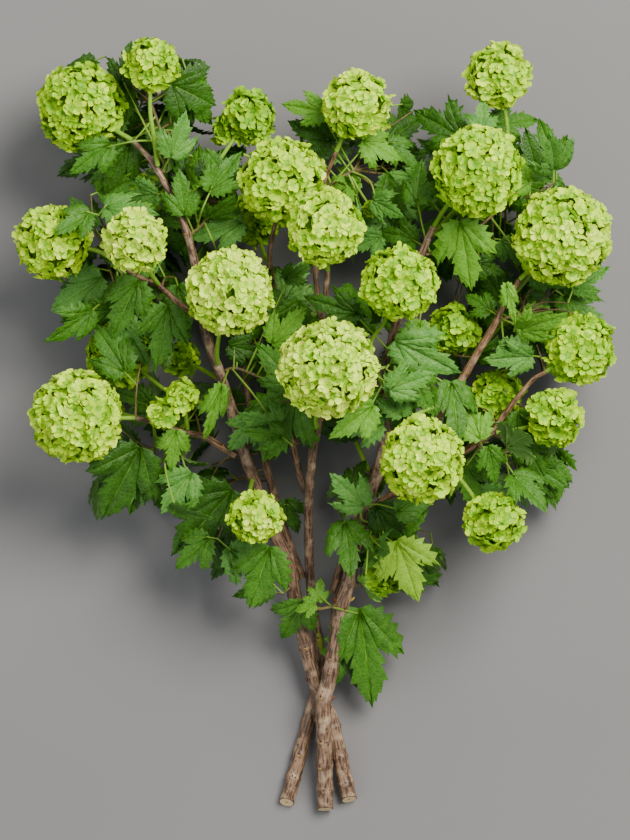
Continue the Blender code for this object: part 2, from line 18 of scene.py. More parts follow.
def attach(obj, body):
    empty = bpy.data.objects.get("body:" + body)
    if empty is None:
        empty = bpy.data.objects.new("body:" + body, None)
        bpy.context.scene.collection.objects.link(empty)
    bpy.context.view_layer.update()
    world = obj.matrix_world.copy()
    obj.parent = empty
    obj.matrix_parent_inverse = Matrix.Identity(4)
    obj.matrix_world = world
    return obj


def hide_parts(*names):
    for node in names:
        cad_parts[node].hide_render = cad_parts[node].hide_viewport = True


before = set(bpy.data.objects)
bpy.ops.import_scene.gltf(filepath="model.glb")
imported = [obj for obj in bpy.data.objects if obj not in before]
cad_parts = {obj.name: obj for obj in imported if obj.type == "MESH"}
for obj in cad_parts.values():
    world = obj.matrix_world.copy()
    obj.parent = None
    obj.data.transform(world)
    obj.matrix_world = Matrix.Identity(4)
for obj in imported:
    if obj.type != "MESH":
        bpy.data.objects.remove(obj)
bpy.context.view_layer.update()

MM = 0.001
# The plan is measured right and down from its corner, in steps of this many millimetres
PLAN_STEP = 0.8
PLAN_MIDDLE = (315.5, 428.5)
# Pieces stand this far apart
GAP = 0.3
# How far the foot of a stem is sheared: rise along the stem for each millimetre across it
CUT_SLANT = 0.6
TWIG_R = 1.5
LEAF_THICK = 1.5
PETIOLE_R = 0.8
SHORTEST_PETIOLE = 8
LONGEST_PETIOLE = 62
# Leaves above this height face up and those below it face down
CROWN_MIDDLE = 100

# Woody limbs: name, what it grows from, sides, route of (right, down, height, radius)
LIMBS = [
    ("middle_stem", None, 7, [
        (286, 811, 6.66, 6.6), (300, 760, 7.2, 6.1), (312, 712, 8, 5.3), (321, 672, 12, 4.6),
        (319, 650, 16, 4.5), (313, 611, 26, 4.3), (309.7, 573, 40, 4.0), (308.8, 535, 56, 3.9),
        (308.8, 496, 74, 3.8), (312.6, 454, 96, 3.6), (318, 425, 112, 3.3), (322, 380, 124, 2.8),
        (325, 330, 136, 2.6), (326, 295, 146, 2.4), (327.6, 272, 154, 2.2)]),
    ("left_stem", None, 8, [
        (350, 808, 7.4, 6.8), (340, 762, 13, 6.6), (331, 725, 17.4, 6.5), (320, 700, 20.3, 6.3),
        (311, 672, 24, 6.2), (303, 640, 29.5, 6.0), (295, 602, 38, 5.8), (288, 563, 48, 5.6),
        (274, 535, 56, 5.5), (257, 491, 68, 5.2), (244, 454, 80, 5.0), (232, 412, 93, 4.6),
        (218, 369, 106, 4.2), (204, 326, 116, 3.9), (194, 259, 128, 3.4), (180, 214, 134, 3.0),
        (163, 180, 136, 2.6), (148, 157, 133, 2.2), (133, 141, 130, 1.8)]),
    ("right_stem", None, 8, [
        (325.5, 818, 7.9, 7.0), (324.5, 762, 21.3, 6.8), (323.5, 707, 34.6, 6.7), (328, 688, 36.6, 6.6),
        (334, 659, 41, 6.4), (338, 630, 46, 6.4), (341, 607, 52, 7.4), (349, 583, 58, 6.0),
        (355, 554, 66, 5.6), (362, 525, 75, 5.4), (370, 496, 84, 5.2), (380, 468, 93, 5.0),
        (386, 430, 104, 4.8), (383, 384, 116, 4.2), (390, 349, 124, 3.8), (402, 300, 131, 3.4),
        (420, 257, 135, 3.1), (433, 228, 138, 2.7)]),
    ("back_right_bough", "right_stem", 6, [
        (337, 610, 50, 3.7), (333, 598, 47, 3.7), (341, 569, 45, 3.6), (353, 539, 47, 3.5),
        (366, 493, 52, 3.3), (385, 450, 58, 3.0), (405, 410, 62, 2.7), (425, 375, 68, 2.4),
        (440, 350, 74, 2.0)]),
    ("back_left_bough", "middle_stem", 6, [
        (311, 600, 31, 3.5), (300, 575, 33, 3.5), (288, 544, 37, 3.4), (272, 491, 43, 3.2),
        (263, 458, 48, 3.0), (253, 426, 52, 2.8), (245, 384, 56, 2.4), (243, 345, 60, 2.0)]),
    ("upper_back_bough", "middle_stem", 6, [
        (308.8, 505, 70, 2.9), (297, 465, 68, 2.9), (285, 400, 72, 2.7), (278, 310, 78, 2.4),
        (270, 267, 84, 2.2), (271, 241, 90, 2.0), (277, 215, 98, 1.7)]),
    ("top_bough", "middle_stem", 6, [
        (325, 330, 136, 2.4), (318, 300, 122, 2.3), (315, 250, 108, 2.2), (320, 210, 106, 2.1),
        (325, 180, 110, 1.9), (336, 152, 118, 1.6)]),
    ("right_bough", "right_stem", 6, [
        (370, 496, 84, 4.2), (388, 472, 90, 4.1), (410, 447, 98, 4.0), (440, 413, 107, 3.8),
        (461, 381, 112, 3.5), (481, 347, 115, 3.1), (495, 324, 118, 3.0), (502, 308, 120, 2.5),
        (519, 280, 124, 2.0)]),
    ("far_right_bough", "right_stem", 6, [
        (363, 520, 76, 3.2), (385, 500, 78, 3.2), (410, 485, 82, 3.1), (435, 468, 90, 3.0),
        (465, 452, 96, 2.9), (491, 434, 100, 2.7), (504, 416, 103, 2.4), (520, 395, 106, 2.2),
        (534, 379, 108, 1.9), (546, 372, 110, 1.6)]),
    ("lower_left_bough", "left_stem", 6, [
        (246, 462, 78, 3.0), (220, 447, 84, 2.9), (204, 437, 90, 2.7), (184, 432, 96, 2.5),
        (151, 422, 104, 2.2), (135, 418, 108, 1.9)]),
    ("upper_left_bough", "left_stem", 6, [
        (205, 330, 115, 2.9), (192, 314, 114, 2.8), (175, 300, 110, 2.6), (159, 286, 108, 2.4),
        (135, 275, 106, 2.1), (108, 256, 106, 1.7)]),
]

# Flower heads: name, what it grows from, balls of (right, down, height, radius), flatness, stalk route
HEADS = [
    ("head_top_left", "left_stem", [(81, 106, 118, 35.5)], 1.0, [(133, 141, 130), (115, 130, 126)]),
    ("head_top_left_small", "left_stem", [(153, 66, 150, 22)], 1.0,
     [(159, 173, 136), (155, 141, 144), (151, 110, 148)]),
    ("head_top_back", "left_stem", [(248, 115, 88, 22.5), (223, 127, 85, 11)], 1.0,
     [(180, 214, 134), (190, 195, 126), (204, 178, 114), (216, 163, 104), (231, 141, 94)]),
    ("head_left", "upper_left_bough", [(52, 243, 108, 30.5)], 1.0, [(108, 256, 106), (95, 250, 107)]),
    ("head_left_inner", "upper_left_bough", [(137, 242, 170, 25.6)], 1.0,
     [(159, 286, 108), (150, 272, 128), (143, 255, 148)]),
    ("head_left_back", "left_stem", [(135, 194, 68, 22.5)], 1.0,
     [(163, 180, 136), (150, 178, 118), (141, 186, 96)]),
    ("head_upper_middle", "upper_back_bough", [(283, 183, 150, 34.5)], 1.0,
     [(277, 215, 98), (280, 205, 110)]),
    ("head_upper_middle_back", "upper_back_bough", [(254, 217, 58, 22)], 1.0,
     [(270, 267, 84), (262, 248, 74)]),
    ("head_upper_front", "middle_stem", [(325, 231, 190, 30.5)], 1.0,
     [(327.6, 272, 154), (327, 255, 166)]),
    ("head_top_middle", "top_bough", [(357, 106, 128, 28)], 1.0, [(336, 152, 118), (345, 132, 122)]),
    ("head_top_right", "right_stem", [(499, 75, 118, 27)], 1.0,
     [(426, 243, 137), (460, 205, 116), (490, 175, 108), (507, 141, 110), (505, 108, 114)]),
    ("head_upper_right", "right_stem", [(476, 174, 182, 36)], 1.0,
     [(433, 228, 138), (446, 207, 152), (457, 194, 162)]),
    ("head_right", "right_bough", [(562, 237, 138, 40)], 1.0, [(519, 280, 124), (533, 266, 128)]),
    ("head_centre_right", "right_stem", [(398, 285, 187, 31)], 0.93,
     [(386, 392, 114), (374, 365, 138), (371, 342, 152), (384, 322, 164)]),
    ("head_centre_left", "left_stem", [(231, 293, 188, 35)], 1.0,
     [(218, 369, 106), (217, 352, 128), (221, 330, 150)]),
    ("head_centre", "middle_stem", [(328, 370, 205, 40)], 0.96,
     [(317, 432, 109), (316, 418, 130), (321, 402, 152)]),
    ("head_lower_right", "right_bough", [(421, 460, 184, 34)], 1.0,
     [(455, 390, 111), (440, 404, 134), (419, 413, 146), (405, 424, 154), (408, 442, 166)]),
    ("head_right_back", "back_right_bough", [(454, 329, 84, 20.8)], 1.0, [(440, 350, 74), (447, 340, 79)]),
    ("head_far_right", "far_right_bough", [(581, 348, 112, 29)], 1.05, [(546, 372, 110), (560, 362, 111)]),
    ("head_right_low", "far_right_bough", [(555, 418, 120, 22.8)], 1.06,
     [(491, 434, 100), (510, 431, 106), (532, 426, 114)]),
    ("head_right_lowest", "far_right_bough", [(493, 522, 122, 25)], 0.95,
     [(438, 467, 91), (459, 478, 102), (476, 500, 114)]),
    ("head_right_inner", "far_right_bough", [(500, 396, 66, 22.4)], 1.0, [(486, 438, 99), (492, 420, 84)]),
    ("head_lower_left", "lower_left_bough", [(77, 418, 126, 37.6)], 1.0,
     [(135, 418, 108), (122, 418, 112)]),
    ("head_left_low_back", "left_stem", [(117, 355, 74, 27)], 1.0,
     [(232, 412, 93), (205, 404, 84), (170, 393, 78), (140, 371, 76)]),
    ("head_lower_left_small", "lower_left_bough", [(182, 396, 124, 13.6), (162, 413, 124, 13)], 1.0,
     [(187, 432, 96), (185, 412, 110)]),
    ("head_left_middle_small", "left_stem", [(180, 358, 74, 15)], 1.0, [(222, 381, 102), (203, 370, 88)]),
    ("head_low_middle", "left_stem", [(256, 517, 128, 22.2)], 0.94, [(252, 478, 73), (250, 492, 96)]),
    ("head_low_right_back", "right_stem", [(385, 578, 62, 17)], 1.0,
     [(358, 541, 70), (372, 536, 74), (384, 552, 68)]),
    ("head_under_centre", "back_right_bough", [(335, 372, 29, 29)], 1.0, [(372, 478, 54), (352, 430, 42)]),
    ("head_under_left", "back_left_bough", [(228, 298, 28, 28)], 1.0, [(243, 345, 60), (237, 325, 46)]),
    ("head_under_upper_right", "right_stem", [(470, 176, 27, 27)], 1.0,
     [(408, 286, 132), (422, 250, 98), (445, 208, 58)]),
    ("head_under_right", "right_bough", [(550, 250, 28, 28)], 1.0,
     [(503, 306, 120), (522, 286, 84), (538, 266, 52)]),
    ("head_under_lower_left", "lower_left_bough", [(86, 408, 27, 27)], 1.0,
     [(146, 421, 105), (128, 416, 78), (108, 411, 48)]),
    ("head_under_lower_right", "back_right_bough", [(424, 456, 27, 27)], 1.0,
     [(396, 428, 60), (410, 442, 46)]),
    ("head_under_upper_middle", "top_bough", [(292, 172, 26, 26)], 1.0, [(320, 205, 106), (311, 190, 70)]),
    ("head_under_top_left", "left_stem", [(92, 112, 25, 25)], 1.0,
     [(148, 157, 133), (128, 138, 88), (108, 124, 48)]),
]

# Leaf masses: name, what it grows from, space (left, top, low, right, bottom, high),
# shoot route, leaves of (base right, down, height, tip right, down, height, width over length),
# filling leaves
MASSES = [
    ("leaves_top_left", "left_stem", (48, 36, 4, 218, 205, 165),
     [(163, 180, 136), (164, 158, 124), (160, 130, 118), (150, 100, 116)],
     [(172, 85, 132, 216, 107, 124, 1.3), (120, 84, 108, 130, 40, 104, 0.8),
      (104, 148, 88, 55, 176, 78, 0.8), (130, 143, 116, 104, 194, 104, 0.75),
      (150, 140, 104, 176, 112, 96, 0.9)], 9),
    ("leaves_upper_left", "left_stem", (150, 140, 4, 246, 262, 160),
     [(188, 237, 131), (204, 222, 116), (214, 200, 108)],
     [(186, 200, 118, 226, 150, 112, 1.0), (243, 222, 122, 188, 236, 118, 0.8)], 11),
    ("leaves_left", "upper_left_bough", (44, 190, 4, 190, 372, 160),
     [(137, 276, 106), (126, 284, 92), (112, 290, 84)],
     [(100, 276, 96, 48, 307, 88, 0.85), (139, 280, 122, 109, 338, 116, 0.85),
      (94, 226, 78, 66, 195, 74, 0.8), (169, 306, 140, 156, 367, 132, 0.85)], 10),
    ("leaves_lower_left", "lower_left_bough", (84, 380, 4, 225, 524, 160),
     [(182, 432, 96), (170, 442, 84), (150, 450, 78)],
     [(140, 447, 100, 100, 520, 84, 0.95), (176, 430, 112, 171, 472, 100, 0.75),
      (150, 405, 62, 112, 392, 56, 0.8)], 8),
    ("leaves_middle_left", "left_stem", (225, 255, 4, 312, 465, 160),
     [(219, 372, 105), (236, 368, 94), (262, 378, 92), (284, 388, 94)],
     [(222, 385, 132, 206, 443, 124, 0.45), (228, 345, 96, 268, 356, 92, 0.8),
      (302, 393, 122, 264, 461, 112, 0.95), (300, 300, 112, 282, 342, 104, 0.8),
      (284, 280, 118, 312, 262, 112, 0.8)], 10),
    ("leaves_low_left", "left_stem", (168, 462, 4, 312, 612, 150),
     [(264, 509, 64), (248, 506, 66), (240, 512, 70)],
     [(232, 490, 84, 171, 557, 70, 0.95), (270, 547, 98, 248, 609, 84, 0.9),
      (286, 500, 54, 298, 536, 46, 0.8)], 6),
    ("leaves_foot", "right_stem", (270, 535, 8, 396, 714, 110),
     [(341, 606, 54), (330, 609, 66), (316, 612, 66)],
     [(350, 611, 76, 366, 712, 58, 0.75), (316, 606, 64, 293, 612, 58, 0.9),
      (318, 604, 60, 322, 580, 56, 0.9), (303, 604, 56, 282, 646, 40, 0.95)], 2),
    ("leaves_low_right", "right_stem", (330, 440, 8, 445, 606, 150),
     [(359, 536, 72), (372, 524, 84), (388, 520, 86)],
     [(376, 506, 96, 408, 542, 86, 0.9), (396, 512, 104, 436, 500, 100, 0.8),
      (397, 541, 96, 420, 602, 86, 0.95), (352, 488, 76, 366, 458, 66, 0.8),
      (384, 542, 90, 364, 572, 84, 0.7)], 6),
    ("leaves_centre", "right_stem", (298, 285, 4, 465, 450, 178),
     [(382, 376, 117), (394, 366, 132), (402, 352, 140)],
     [(384, 424, 128, 338, 430, 118, 0.85), (402, 417, 138, 386, 374, 146, 0.8),
      (394, 341, 152, 458, 376, 142, 0.75), (359, 315, 164, 303, 300, 158, 0.65)], 11),
    ("leaves_upper_middle", "top_bough", (278, 85, 4, 436, 262, 150),
     [(323, 190, 108), (338, 178, 100), (356, 168, 98)],
     [(327, 112, 108, 281, 104, 104, 0.75), (333, 140, 98, 287, 120, 88, 0.85),
      (362, 140, 110, 402, 158, 104, 0.9), (361, 181, 92, 323, 183, 86, 0.85),
      (382, 236, 104, 350, 250, 96, 0.9)], 10),
    ("leaves_upper_right", "right_stem", (410, 88, 4, 584, 295, 165),
     [(420, 257, 135), (446, 248, 126), (480, 226, 116), (508, 200, 100)],
     [(420, 180, 116, 388, 172, 112, 0.6), (418, 240, 112, 377, 230, 104, 0.9),
      (462, 138, 120, 413, 110, 110, 1.0), (480, 134, 128, 483, 99, 122, 0.9),
      (459, 222, 150, 471, 292, 138, 0.85), (515, 165, 96, 546, 142, 88, 0.85),
      (512, 188, 86, 548, 182, 76, 0.8), (534, 122, 112, 577, 166, 100, 0.9),
      (475, 262, 112, 506, 274, 104, 0.8)], 9),
    ("leaves_right", "right_bough", (460, 255, 4, 614, 372, 150),
     [(496, 322, 118), (506, 318, 108), (526, 312, 100)],
     [(505, 284, 142, 516, 325, 136, 0.45), (492, 312, 104, 466, 292, 96, 0.85),
      (520, 312, 112, 560, 342, 104, 0.9), (499, 345, 106, 534, 356, 98, 0.75),
      (553, 290, 100, 606, 298, 92, 0.65), (588, 280, 92, 612, 258, 88, 0.8)], 6),
    ("leaves_lower_right", "far_right_bough", (446, 392, 4, 570, 514, 150),
     [(478, 443, 98), (484, 452, 110), (500, 454, 104), (520, 448, 98)],
     [(480, 440, 132, 464, 398, 128, 0.85), (488, 446, 118, 497, 485, 110, 0.75),
      (464, 462, 92, 478, 511, 82, 0.9), (522, 436, 104, 544, 480, 96, 0.8),
      (528, 455, 88, 561, 502, 80, 0.6)], 7),
]

# Half of a lobed blade as (share of length, share of width), from the stalk round to the tip
BLADE_FULL = [(0.0, 0.22), (0.44, 0.50), (0.52, 0.24), (0.74, 0.20)]
BLADE_PLAIN = [(0.05, 0.30), (0.48, 0.46), (0.62, 0.20)]
# The middle of the blade in the same shares, and how deep the blade is cupped
BLADE_HEART = (0.40, 0.0)
BLADE_CUP = 0.10

# ---------------------------------------------------------------- growth, by the source's rule

UP = Vector((0, 0, 1))
EAST = Vector((1, 0, 0))
GOLDEN_TURN = math.pi * (3 - math.sqrt(5))

# A stalk's foot is cut back by this much at a time until it is one gap clear
SEAT_STEP = 0.2
# Heads: radii from which a head counts as big or small, and the knobs on the ball that stands for it
BIG_HEAD_R, SMALL_HEAD_R = 24, 16
KNOBS = {"big": 62, "middling": 44, "small": 36}
# The stalk of a head: radius at its foot, what it loses on the way, radius inside the head, share sunk
STALK_R, STALK_TAPER, STALK_TOP_R, STALK_SUNK = 2.0, 0.5, 1.4, 0.35

# A petiole runs on into its blade, and is thicker at its foot than at the blade
PETIOLE_SUNK = 5.0
PETIOLE_FOOT, PETIOLE_TOP = 1.15, 0.8
PETIOLE_BOWS = (0, 7, 14, 22)
# Room asked for round a leaf, and the lowest place for its base or tip
LEAF_ROOM = 4 * GAP
LEAF_SPREAD = 1.04
LOWEST_LEAF = 3
FILLING_LENGTH = (34, 50)
PAIR_LENGTH = (32, 48)
LEAF_BREADTH = (0.75, 0.95)
TRIES_PER_LEAF = 900

# Finer twigs, tried in each mass's space until it has its leaves
TWIGS_TRIED = 230
LEAVES_WANTED = 26
SPARSE_MASSES = {"leaves_foot": 0, "leaves_low_left": 6, "leaves_low_right": 10, "leaves_lower_left": 14}
FINE_TWIG_R = 0.9
FINE_TWIG_LENGTH = (16, 72)
THIN_BLADE = 0.8
# Leaves hung towards the cut ends while the branches stood
HANGING = Vector((0, -0.55, 0))


def place(point):
    """A (right, down, height) place of the plan in millimetres."""
    right, down, height = point[:3]
    x = (right - PLAN_MIDDLE[0]) * PLAN_STEP
    y = (PLAN_MIDDLE[1] - down) * PLAN_STEP
    return Vector((x, y, height))


def space_corners(space):
    """The lowest and highest corner of a mass's space."""
    left, top, low, right, bottom, high = space
    return place((left, bottom, low)), place((right, top, high))


def jitter(rng, size):
    return Vector([rng.uniform(-size, size) for _ in range(3)])


def outward(side, across, turn):
    """The way out of a limb at one turn round it."""
    return side * math.cos(turn) + across * math.sin(turn)


def spots_of(route):
    return [point for point, _ in route]


def ring_frames(points):
    """For each point of a route: the way ahead, one side and across, carried on without twist."""
    side = None
    frames = []
    for i in range(len(points)):
        ahead = (points[min(i + 1, len(points) - 1)] - points[max(i - 1, 0)]).normalized()
        if side is None:
            side = UP if abs(ahead.z) < 0.9 else EAST
        side = (side - ahead * side.dot(ahead)).normalized()
        frames.append((ahead, side, ahead.cross(side)))
    return frames


def tube_mesh(route, sides, foot_slant=0.0):
    """The plain closed tube that stands for a limb or stalk while room is found for the rest."""
    mesh = bmesh.new()
    rings = []
    for i, (ahead, side, across) in enumerate(ring_frames(spots_of(route))):
        point, radius = route[i]
        ring = []
        for k in range(sides):
            turn = 2 * math.pi * k / sides + (math.pi / sides if sides % 2 else 0)
            corner = point + outward(side, across, turn) * radius
            if i == 0 and foot_slant:
                corner += ahead * (corner.z - point.z) * foot_slant
            ring.append(mesh.verts.new(corner))
        rings.append(ring)
    for low, high in zip(rings, rings[1:]):
        for k in range(sides):
            mesh.faces.new((low[k], low[(k + 1) % sides], high[(k + 1) % sides], high[k]))
    mesh.faces.new(list(reversed(rings[0])))
    mesh.faces.new(rings[-1])
    bmesh.ops.recalc_face_normals(mesh, faces=mesh.faces)
    return mesh


def ball_mesh(centre, radius, flatness, count, seed):
    """The lumpy ball that a flower head fills, lowered or lifted to rest on the floor if it reaches it."""
    rng = random.Random(seed)
    mesh = bmesh.new()
    for i in range(count):
        z = 1 - 2 * (i + 0.5) / count
        ring = math.sqrt(1 - z * z)
        turn = GOLDEN_TURN * i + seed
        mesh.verts.new((ring * math.cos(turn), ring * math.sin(turn), z))
    bmesh.ops.convex_hull(mesh, input=mesh.verts)
    for vert in mesh.verts:
        swell = radius * (0.985 + 0.03 * rng.random())
        vert.co = Vector((vert.co.x, vert.co.y * flatness, vert.co.z)) * swell + centre
    lowest = min(vert.co.z for vert in mesh.verts)
    if lowest < 1.0:
        for vert in mesh.verts:
            vert.co.z -= lowest
    bmesh.ops.recalc_face_normals(mesh, faces=mesh.faces)
    return mesh


def blade_outline(base, tip, width, normal, half):
    """The rim of a plain lobed blade and its middle, gently cupped, and the way its top faces."""
    along = tip - base
    length = along.length
    along = along / length
    normal = (normal - along * normal.dot(along)).normalized()
    across = normal.cross(along)
    outline = [(0.0, 0.0)] + half + [(1.0, 0.0)] + [(u, -v) for u, v in reversed(half)]
    spots = []
    for u, v in outline + [BLADE_HEART]:
        lift = BLADE_CUP * length * abs(v) * 2 - BLADE_CUP * length * u * u
        spots.append(base + along * (u * length) + across * (v * width * length) + normal * lift)
    return spots[:-1], spots[-1], normal


def blade_mesh(base, tip, width, normal, half, thick=LEAF_THICK):
    """The plain closed blade that stands for a leaf while room is found for it."""
    mesh = bmesh.new()
    rim, middle, up = blade_outline(base, tip, width, normal, half)
    edge = [mesh.verts.new(spot) for spot in rim]
    top = mesh.verts.new(middle + up * thick / 2)
    low = mesh.verts.new(middle - up * thick / 2)
    for k in range(len(edge)):
        n = (k + 1) % len(edge)
        mesh.faces.new((top, edge[k], edge[n]))
        mesh.faces.new((low, edge[n], edge[k]))
    bmesh.ops.recalc_face_normals(mesh, faces=mesh.faces)
    return mesh


def bounding(mesh):
    low = Vector([min(vert.co[k] for vert in mesh.verts) for k in range(3)])
    high = Vector([max(vert.co[k] for vert in mesh.verts) for k in range(3)])
    return (low + high) / 2, (high - low).length / 2


class Taken:
    """Everything already placed, so that a new piece can be tested against it."""

    def __init__(self):
        self.items = []
        self.balls = []

    def add(self, mesh, owner):
        centre, reach = bounding(mesh)
        self.items.append((BVHTree.FromBMesh(mesh), centre, reach, owner))

    def touches(self, mesh, skip=()):
        centre, reach = bounding(mesh)
        if any((centre - ball).length < radius for ball, radius in self.balls):
            return True
        tree = None
        for other, other_centre, other_reach, owner in self.items:
            if owner in skip or (centre - other_centre).length > reach + other_reach:
                continue
            tree = tree or BVHTree.FromBMesh(mesh)
            if tree.overlap(other):
                return True
        return False


class Leaf:
    """Where one leaf sits, which way its upper side faces, its stalk, and its row if listed."""

    def __init__(self, base, tip, width, normal, stalk, blade):
        self.base, self.tip, self.width, self.normal = base, tip, width, normal
        self.stalk = stalk
        self.blade = blade
        self.row = None


def trimmed(route, cut):
    """The (point, radius) route with its first stretch taken off."""
    left = cut
    for i in range(len(route) - 1):
        start, end = route[i][0], route[i + 1][0]
        span = (end - start).length
        if span > left:
            share = left / span
            first = (start.lerp(end, share), route[i][1] * (1 - share) + route[i + 1][1] * share)
            return [first] + route[i + 1:]
        left -= span
    return None


def below_surface(tree, point):
    spot, normal, _, _ = tree.find_nearest(point)
    return (point - spot).dot(normal) < 0


def seated(route, sides, taken, parent):
    """Cuts the foot of a route back until the piece stands one gap clear of what it grows from."""
    parents = [tree for tree, _, _, owner in taken.items if owner == parent]
    cut = 0.0
    while True:
        shorter = trimmed(route, cut)
        fat = [(point, radius + GAP) for point, radius in shorter]
        start, ahead = fat[0][0], (fat[1][0] - fat[0][0]).normalized()
        fat[0] = (start - ahead * GAP, fat[0][1])
        around = BVHTree.FromBMesh(tube_mesh(fat, sides))
        if not any(around.overlap(tree) or below_surface(tree, start) for tree in parents):
            return shorter
        cut += SEAT_STEP


def grow_limbs(taken):
    limbs = {}
    for name, parent, sides, plan in LIMBS:
        route = [(place(row), row[3]) for row in plan]
        if parent:
            route = seated(route, sides, taken, parent)
        taken.add(tube_mesh(route, sides, 0.0 if parent else CUT_SLANT), name)
        limbs[name] = route
    return limbs


def grow_heads(taken):
    """Takes the room of every flower head and returns the stalks they stand on."""
    stalks = {}
    for number, (name, parent, balls, flatness, stalk) in enumerate(HEADS):
        centre = place(balls[0])
        points = [place(spot) for spot in stalk]
        sunk = centre + (points[-1] - centre).normalized() * balls[0][3] * STALK_SUNK
        radii = [STALK_R - STALK_TAPER * i / len(points) for i in range(len(points))] + [STALK_TOP_R]
        route = seated(list(zip(points + [sunk], radii)), 5, taken, parent)
        for k, (*spot, radius) in enumerate(balls):
            size = "big" if radius > BIG_HEAD_R else "small" if radius < SMALL_HEAD_R else "middling"
            middle = place(spot)
            taken.add(ball_mesh(middle, radius, flatness, KNOBS[size], number * 3 + k), name)
            taken.balls.append((middle, radius))
        taken.add(tube_mesh(route, 5), name)
        stalks[name] = route
    return stalks


def nearest_on(route, point):
    best = None
    for start, end in zip(route, route[1:]):
        along = end - start
        share = max(0.0, min(1.0, (point - start).dot(along) / along.length_squared))
        spot = start + along * share
        if best is None or (point - spot).length < (point - best).length:
            best = spot
    return best


def nearest_of(routes, point):
    return min((nearest_on(route, point) for route in routes), key=lambda spot: (spot - point).length)


def budding(route):
    """The stretch of a shoot that stalks spring from: all but its two ends."""
    points = spots_of(route)
    first = (points[1] - points[0]).normalized() * 4
    last = (points[-2] - points[-1]).normalized() * 2
    return [points[0] + first] + points[1:-1] + [points[-1] + last]


def petiole_route(root, base, tip, bow):
    """A slender stalk from the shoot to the blade, bowed by the given shift."""
    foot = (root, PETIOLE_R * PETIOLE_FOOT)
    top = (base + (tip - base).normalized() * PETIOLE_SUNK, PETIOLE_R * PETIOLE_TOP)
    if bow.length < 1:
        return [foot, top]
    return [foot, (root.lerp(base, 0.5) + bow, PETIOLE_R), top]


def petiole_ways(shoot, base):
    """Places on the shoot that a stalk may spring from, and how it may bow, easiest first."""
    roots = [nearest_on(shoot, base)]
    roots += [start.lerp(end, 0.5) for start, end in zip(shoot, shoot[1:])]
    roots.append(shoot[-1])
    across = (base - roots[0]).cross(UP)
    across = across.normalized() if across.length > 1 else EAST
    for size in PETIOLE_BOWS:
        for root in roots:
            for way in (UP, -UP, across, -across) if size else (UP,):
                yield root, way * size


def grow_leaf(name, shoot, base, tip, width, normal, half, taken, shifts):
    """Tries a leaf at a few places and keeps the first that touches nothing."""
    for shift in shifts:
        spot, end = base + shift, tip + shift
        if min(spot.z, end.z) < LOWEST_LEAF:
            continue
        roomy = blade_mesh(spot, end, width * LEAF_SPREAD, normal, half, LEAF_THICK + LEAF_ROOM)
        if taken.touches(roomy):
            continue
        for root, bow in petiole_ways(shoot, spot):
            stalk = petiole_route(root, spot, end, bow)
            if not taken.touches(tube_mesh(stalk, 3), skip=(name + "_shoot",)):
                blade = blade_mesh(spot, end, width, normal, half)
                return Leaf(spot, end, width, normal, stalk, blade)
    return None


def shifts_for_leaf():
    """Small moves that a leaf may make to find room, nearest first."""
    moves = []
    for aside in (0, 4, 8):
        for lift in (0, 6, 12, 18, 24, 32, 40):
            for way in ((0, 0), (1, 0), (-1, 0), (0, 1), (0, -1)):
                if (way == (0, 0)) == (aside == 0):
                    moves += [Vector((way[0] * aside, way[1] * aside, lift)),
                              Vector((way[0] * aside, way[1] * aside, -lift))]
    return sorted(moves, key=lambda move: abs(move.z) + 4 * move.xy.length)


def clear_of_floor(mesh):
    return min(vert.co.z for vert in mesh.verts) > 0.5


def filling(shoot, space, rng):
    """A seeded leaf somewhere in the space around the shoot, pointing away from it."""
    low, high = space_corners(space)
    base = Vector([rng.uniform(low[k], high[k]) for k in range(3)])
    away = base - nearest_on(shoot, base)
    if not SHORTEST_PETIOLE < away.length < LONGEST_PETIOLE:
        return None
    tip = base + (away.normalized() + jitter(rng, 0.8)).normalized() * rng.uniform(*FILLING_LENGTH)
    if not all(low[k] <= tip[k] <= high[k] for k in range(3)):
        return None
    out = (base + tip) / 2 - (low + high) / 2
    normal = Vector((out.x * 0.5, out.y * 0.5, (base.z - CROWN_MIDDLE) * 1.2 + rng.uniform(-10, 30)))
    normal += jitter(rng, 18)
    return base, tip, rng.uniform(*LEAF_BREADTH), normal.normalized()


def tilt(rng):
    """Which way a listed leaf faces: up, and a little to one side."""
    return Vector((rng.uniform(-0.3, 0.3), rng.uniform(-0.35, 0.2), 1)).normalized()


def keep(leaf, name, taken, leaves):
    taken.add(leaf.blade, name)
    taken.add(tube_mesh(leaf.stalk, 3), name)
    leaves[name].append(leaf)


def grow_leaves(taken):
    """The shoots, the listed leaves and the filling leaves of the solids, in their order."""
    shoots = {}
    leaves = {}
    moves = shifts_for_leaf()
    for name, parent, _, plan, _, _ in MASSES:
        points = [place(row) for row in plan]
        radii = [TWIG_R * (1 - 0.3 * i / len(points)) for i in range(len(points))]
        route = seated(list(zip(points, radii)), 5, taken, parent)
        taken.add(tube_mesh(route, 5), name + "_shoot")
        shoots[name] = route
        leaves[name] = []
    for number, (name, _, _, _, rows, _) in enumerate(MASSES):
        rng = random.Random(100 + number)
        shoot = budding(shoots[name])
        for at, row in enumerate(rows):
            leaf = grow_leaf(name, shoot, place(row[:3]), place(row[3:6]), row[6], tilt(rng),
                             BLADE_FULL, taken, moves)
            if leaf is not None:
                leaf.row = at
                keep(leaf, name, taken, leaves)
    for number, (name, _, space, _, _, wanted) in enumerate(MASSES):
        rng = random.Random(200 + number)
        fill_space(name, budding(shoots[name]), space, rng, wanted, taken, leaves, moves[:1])
    return shoots, leaves


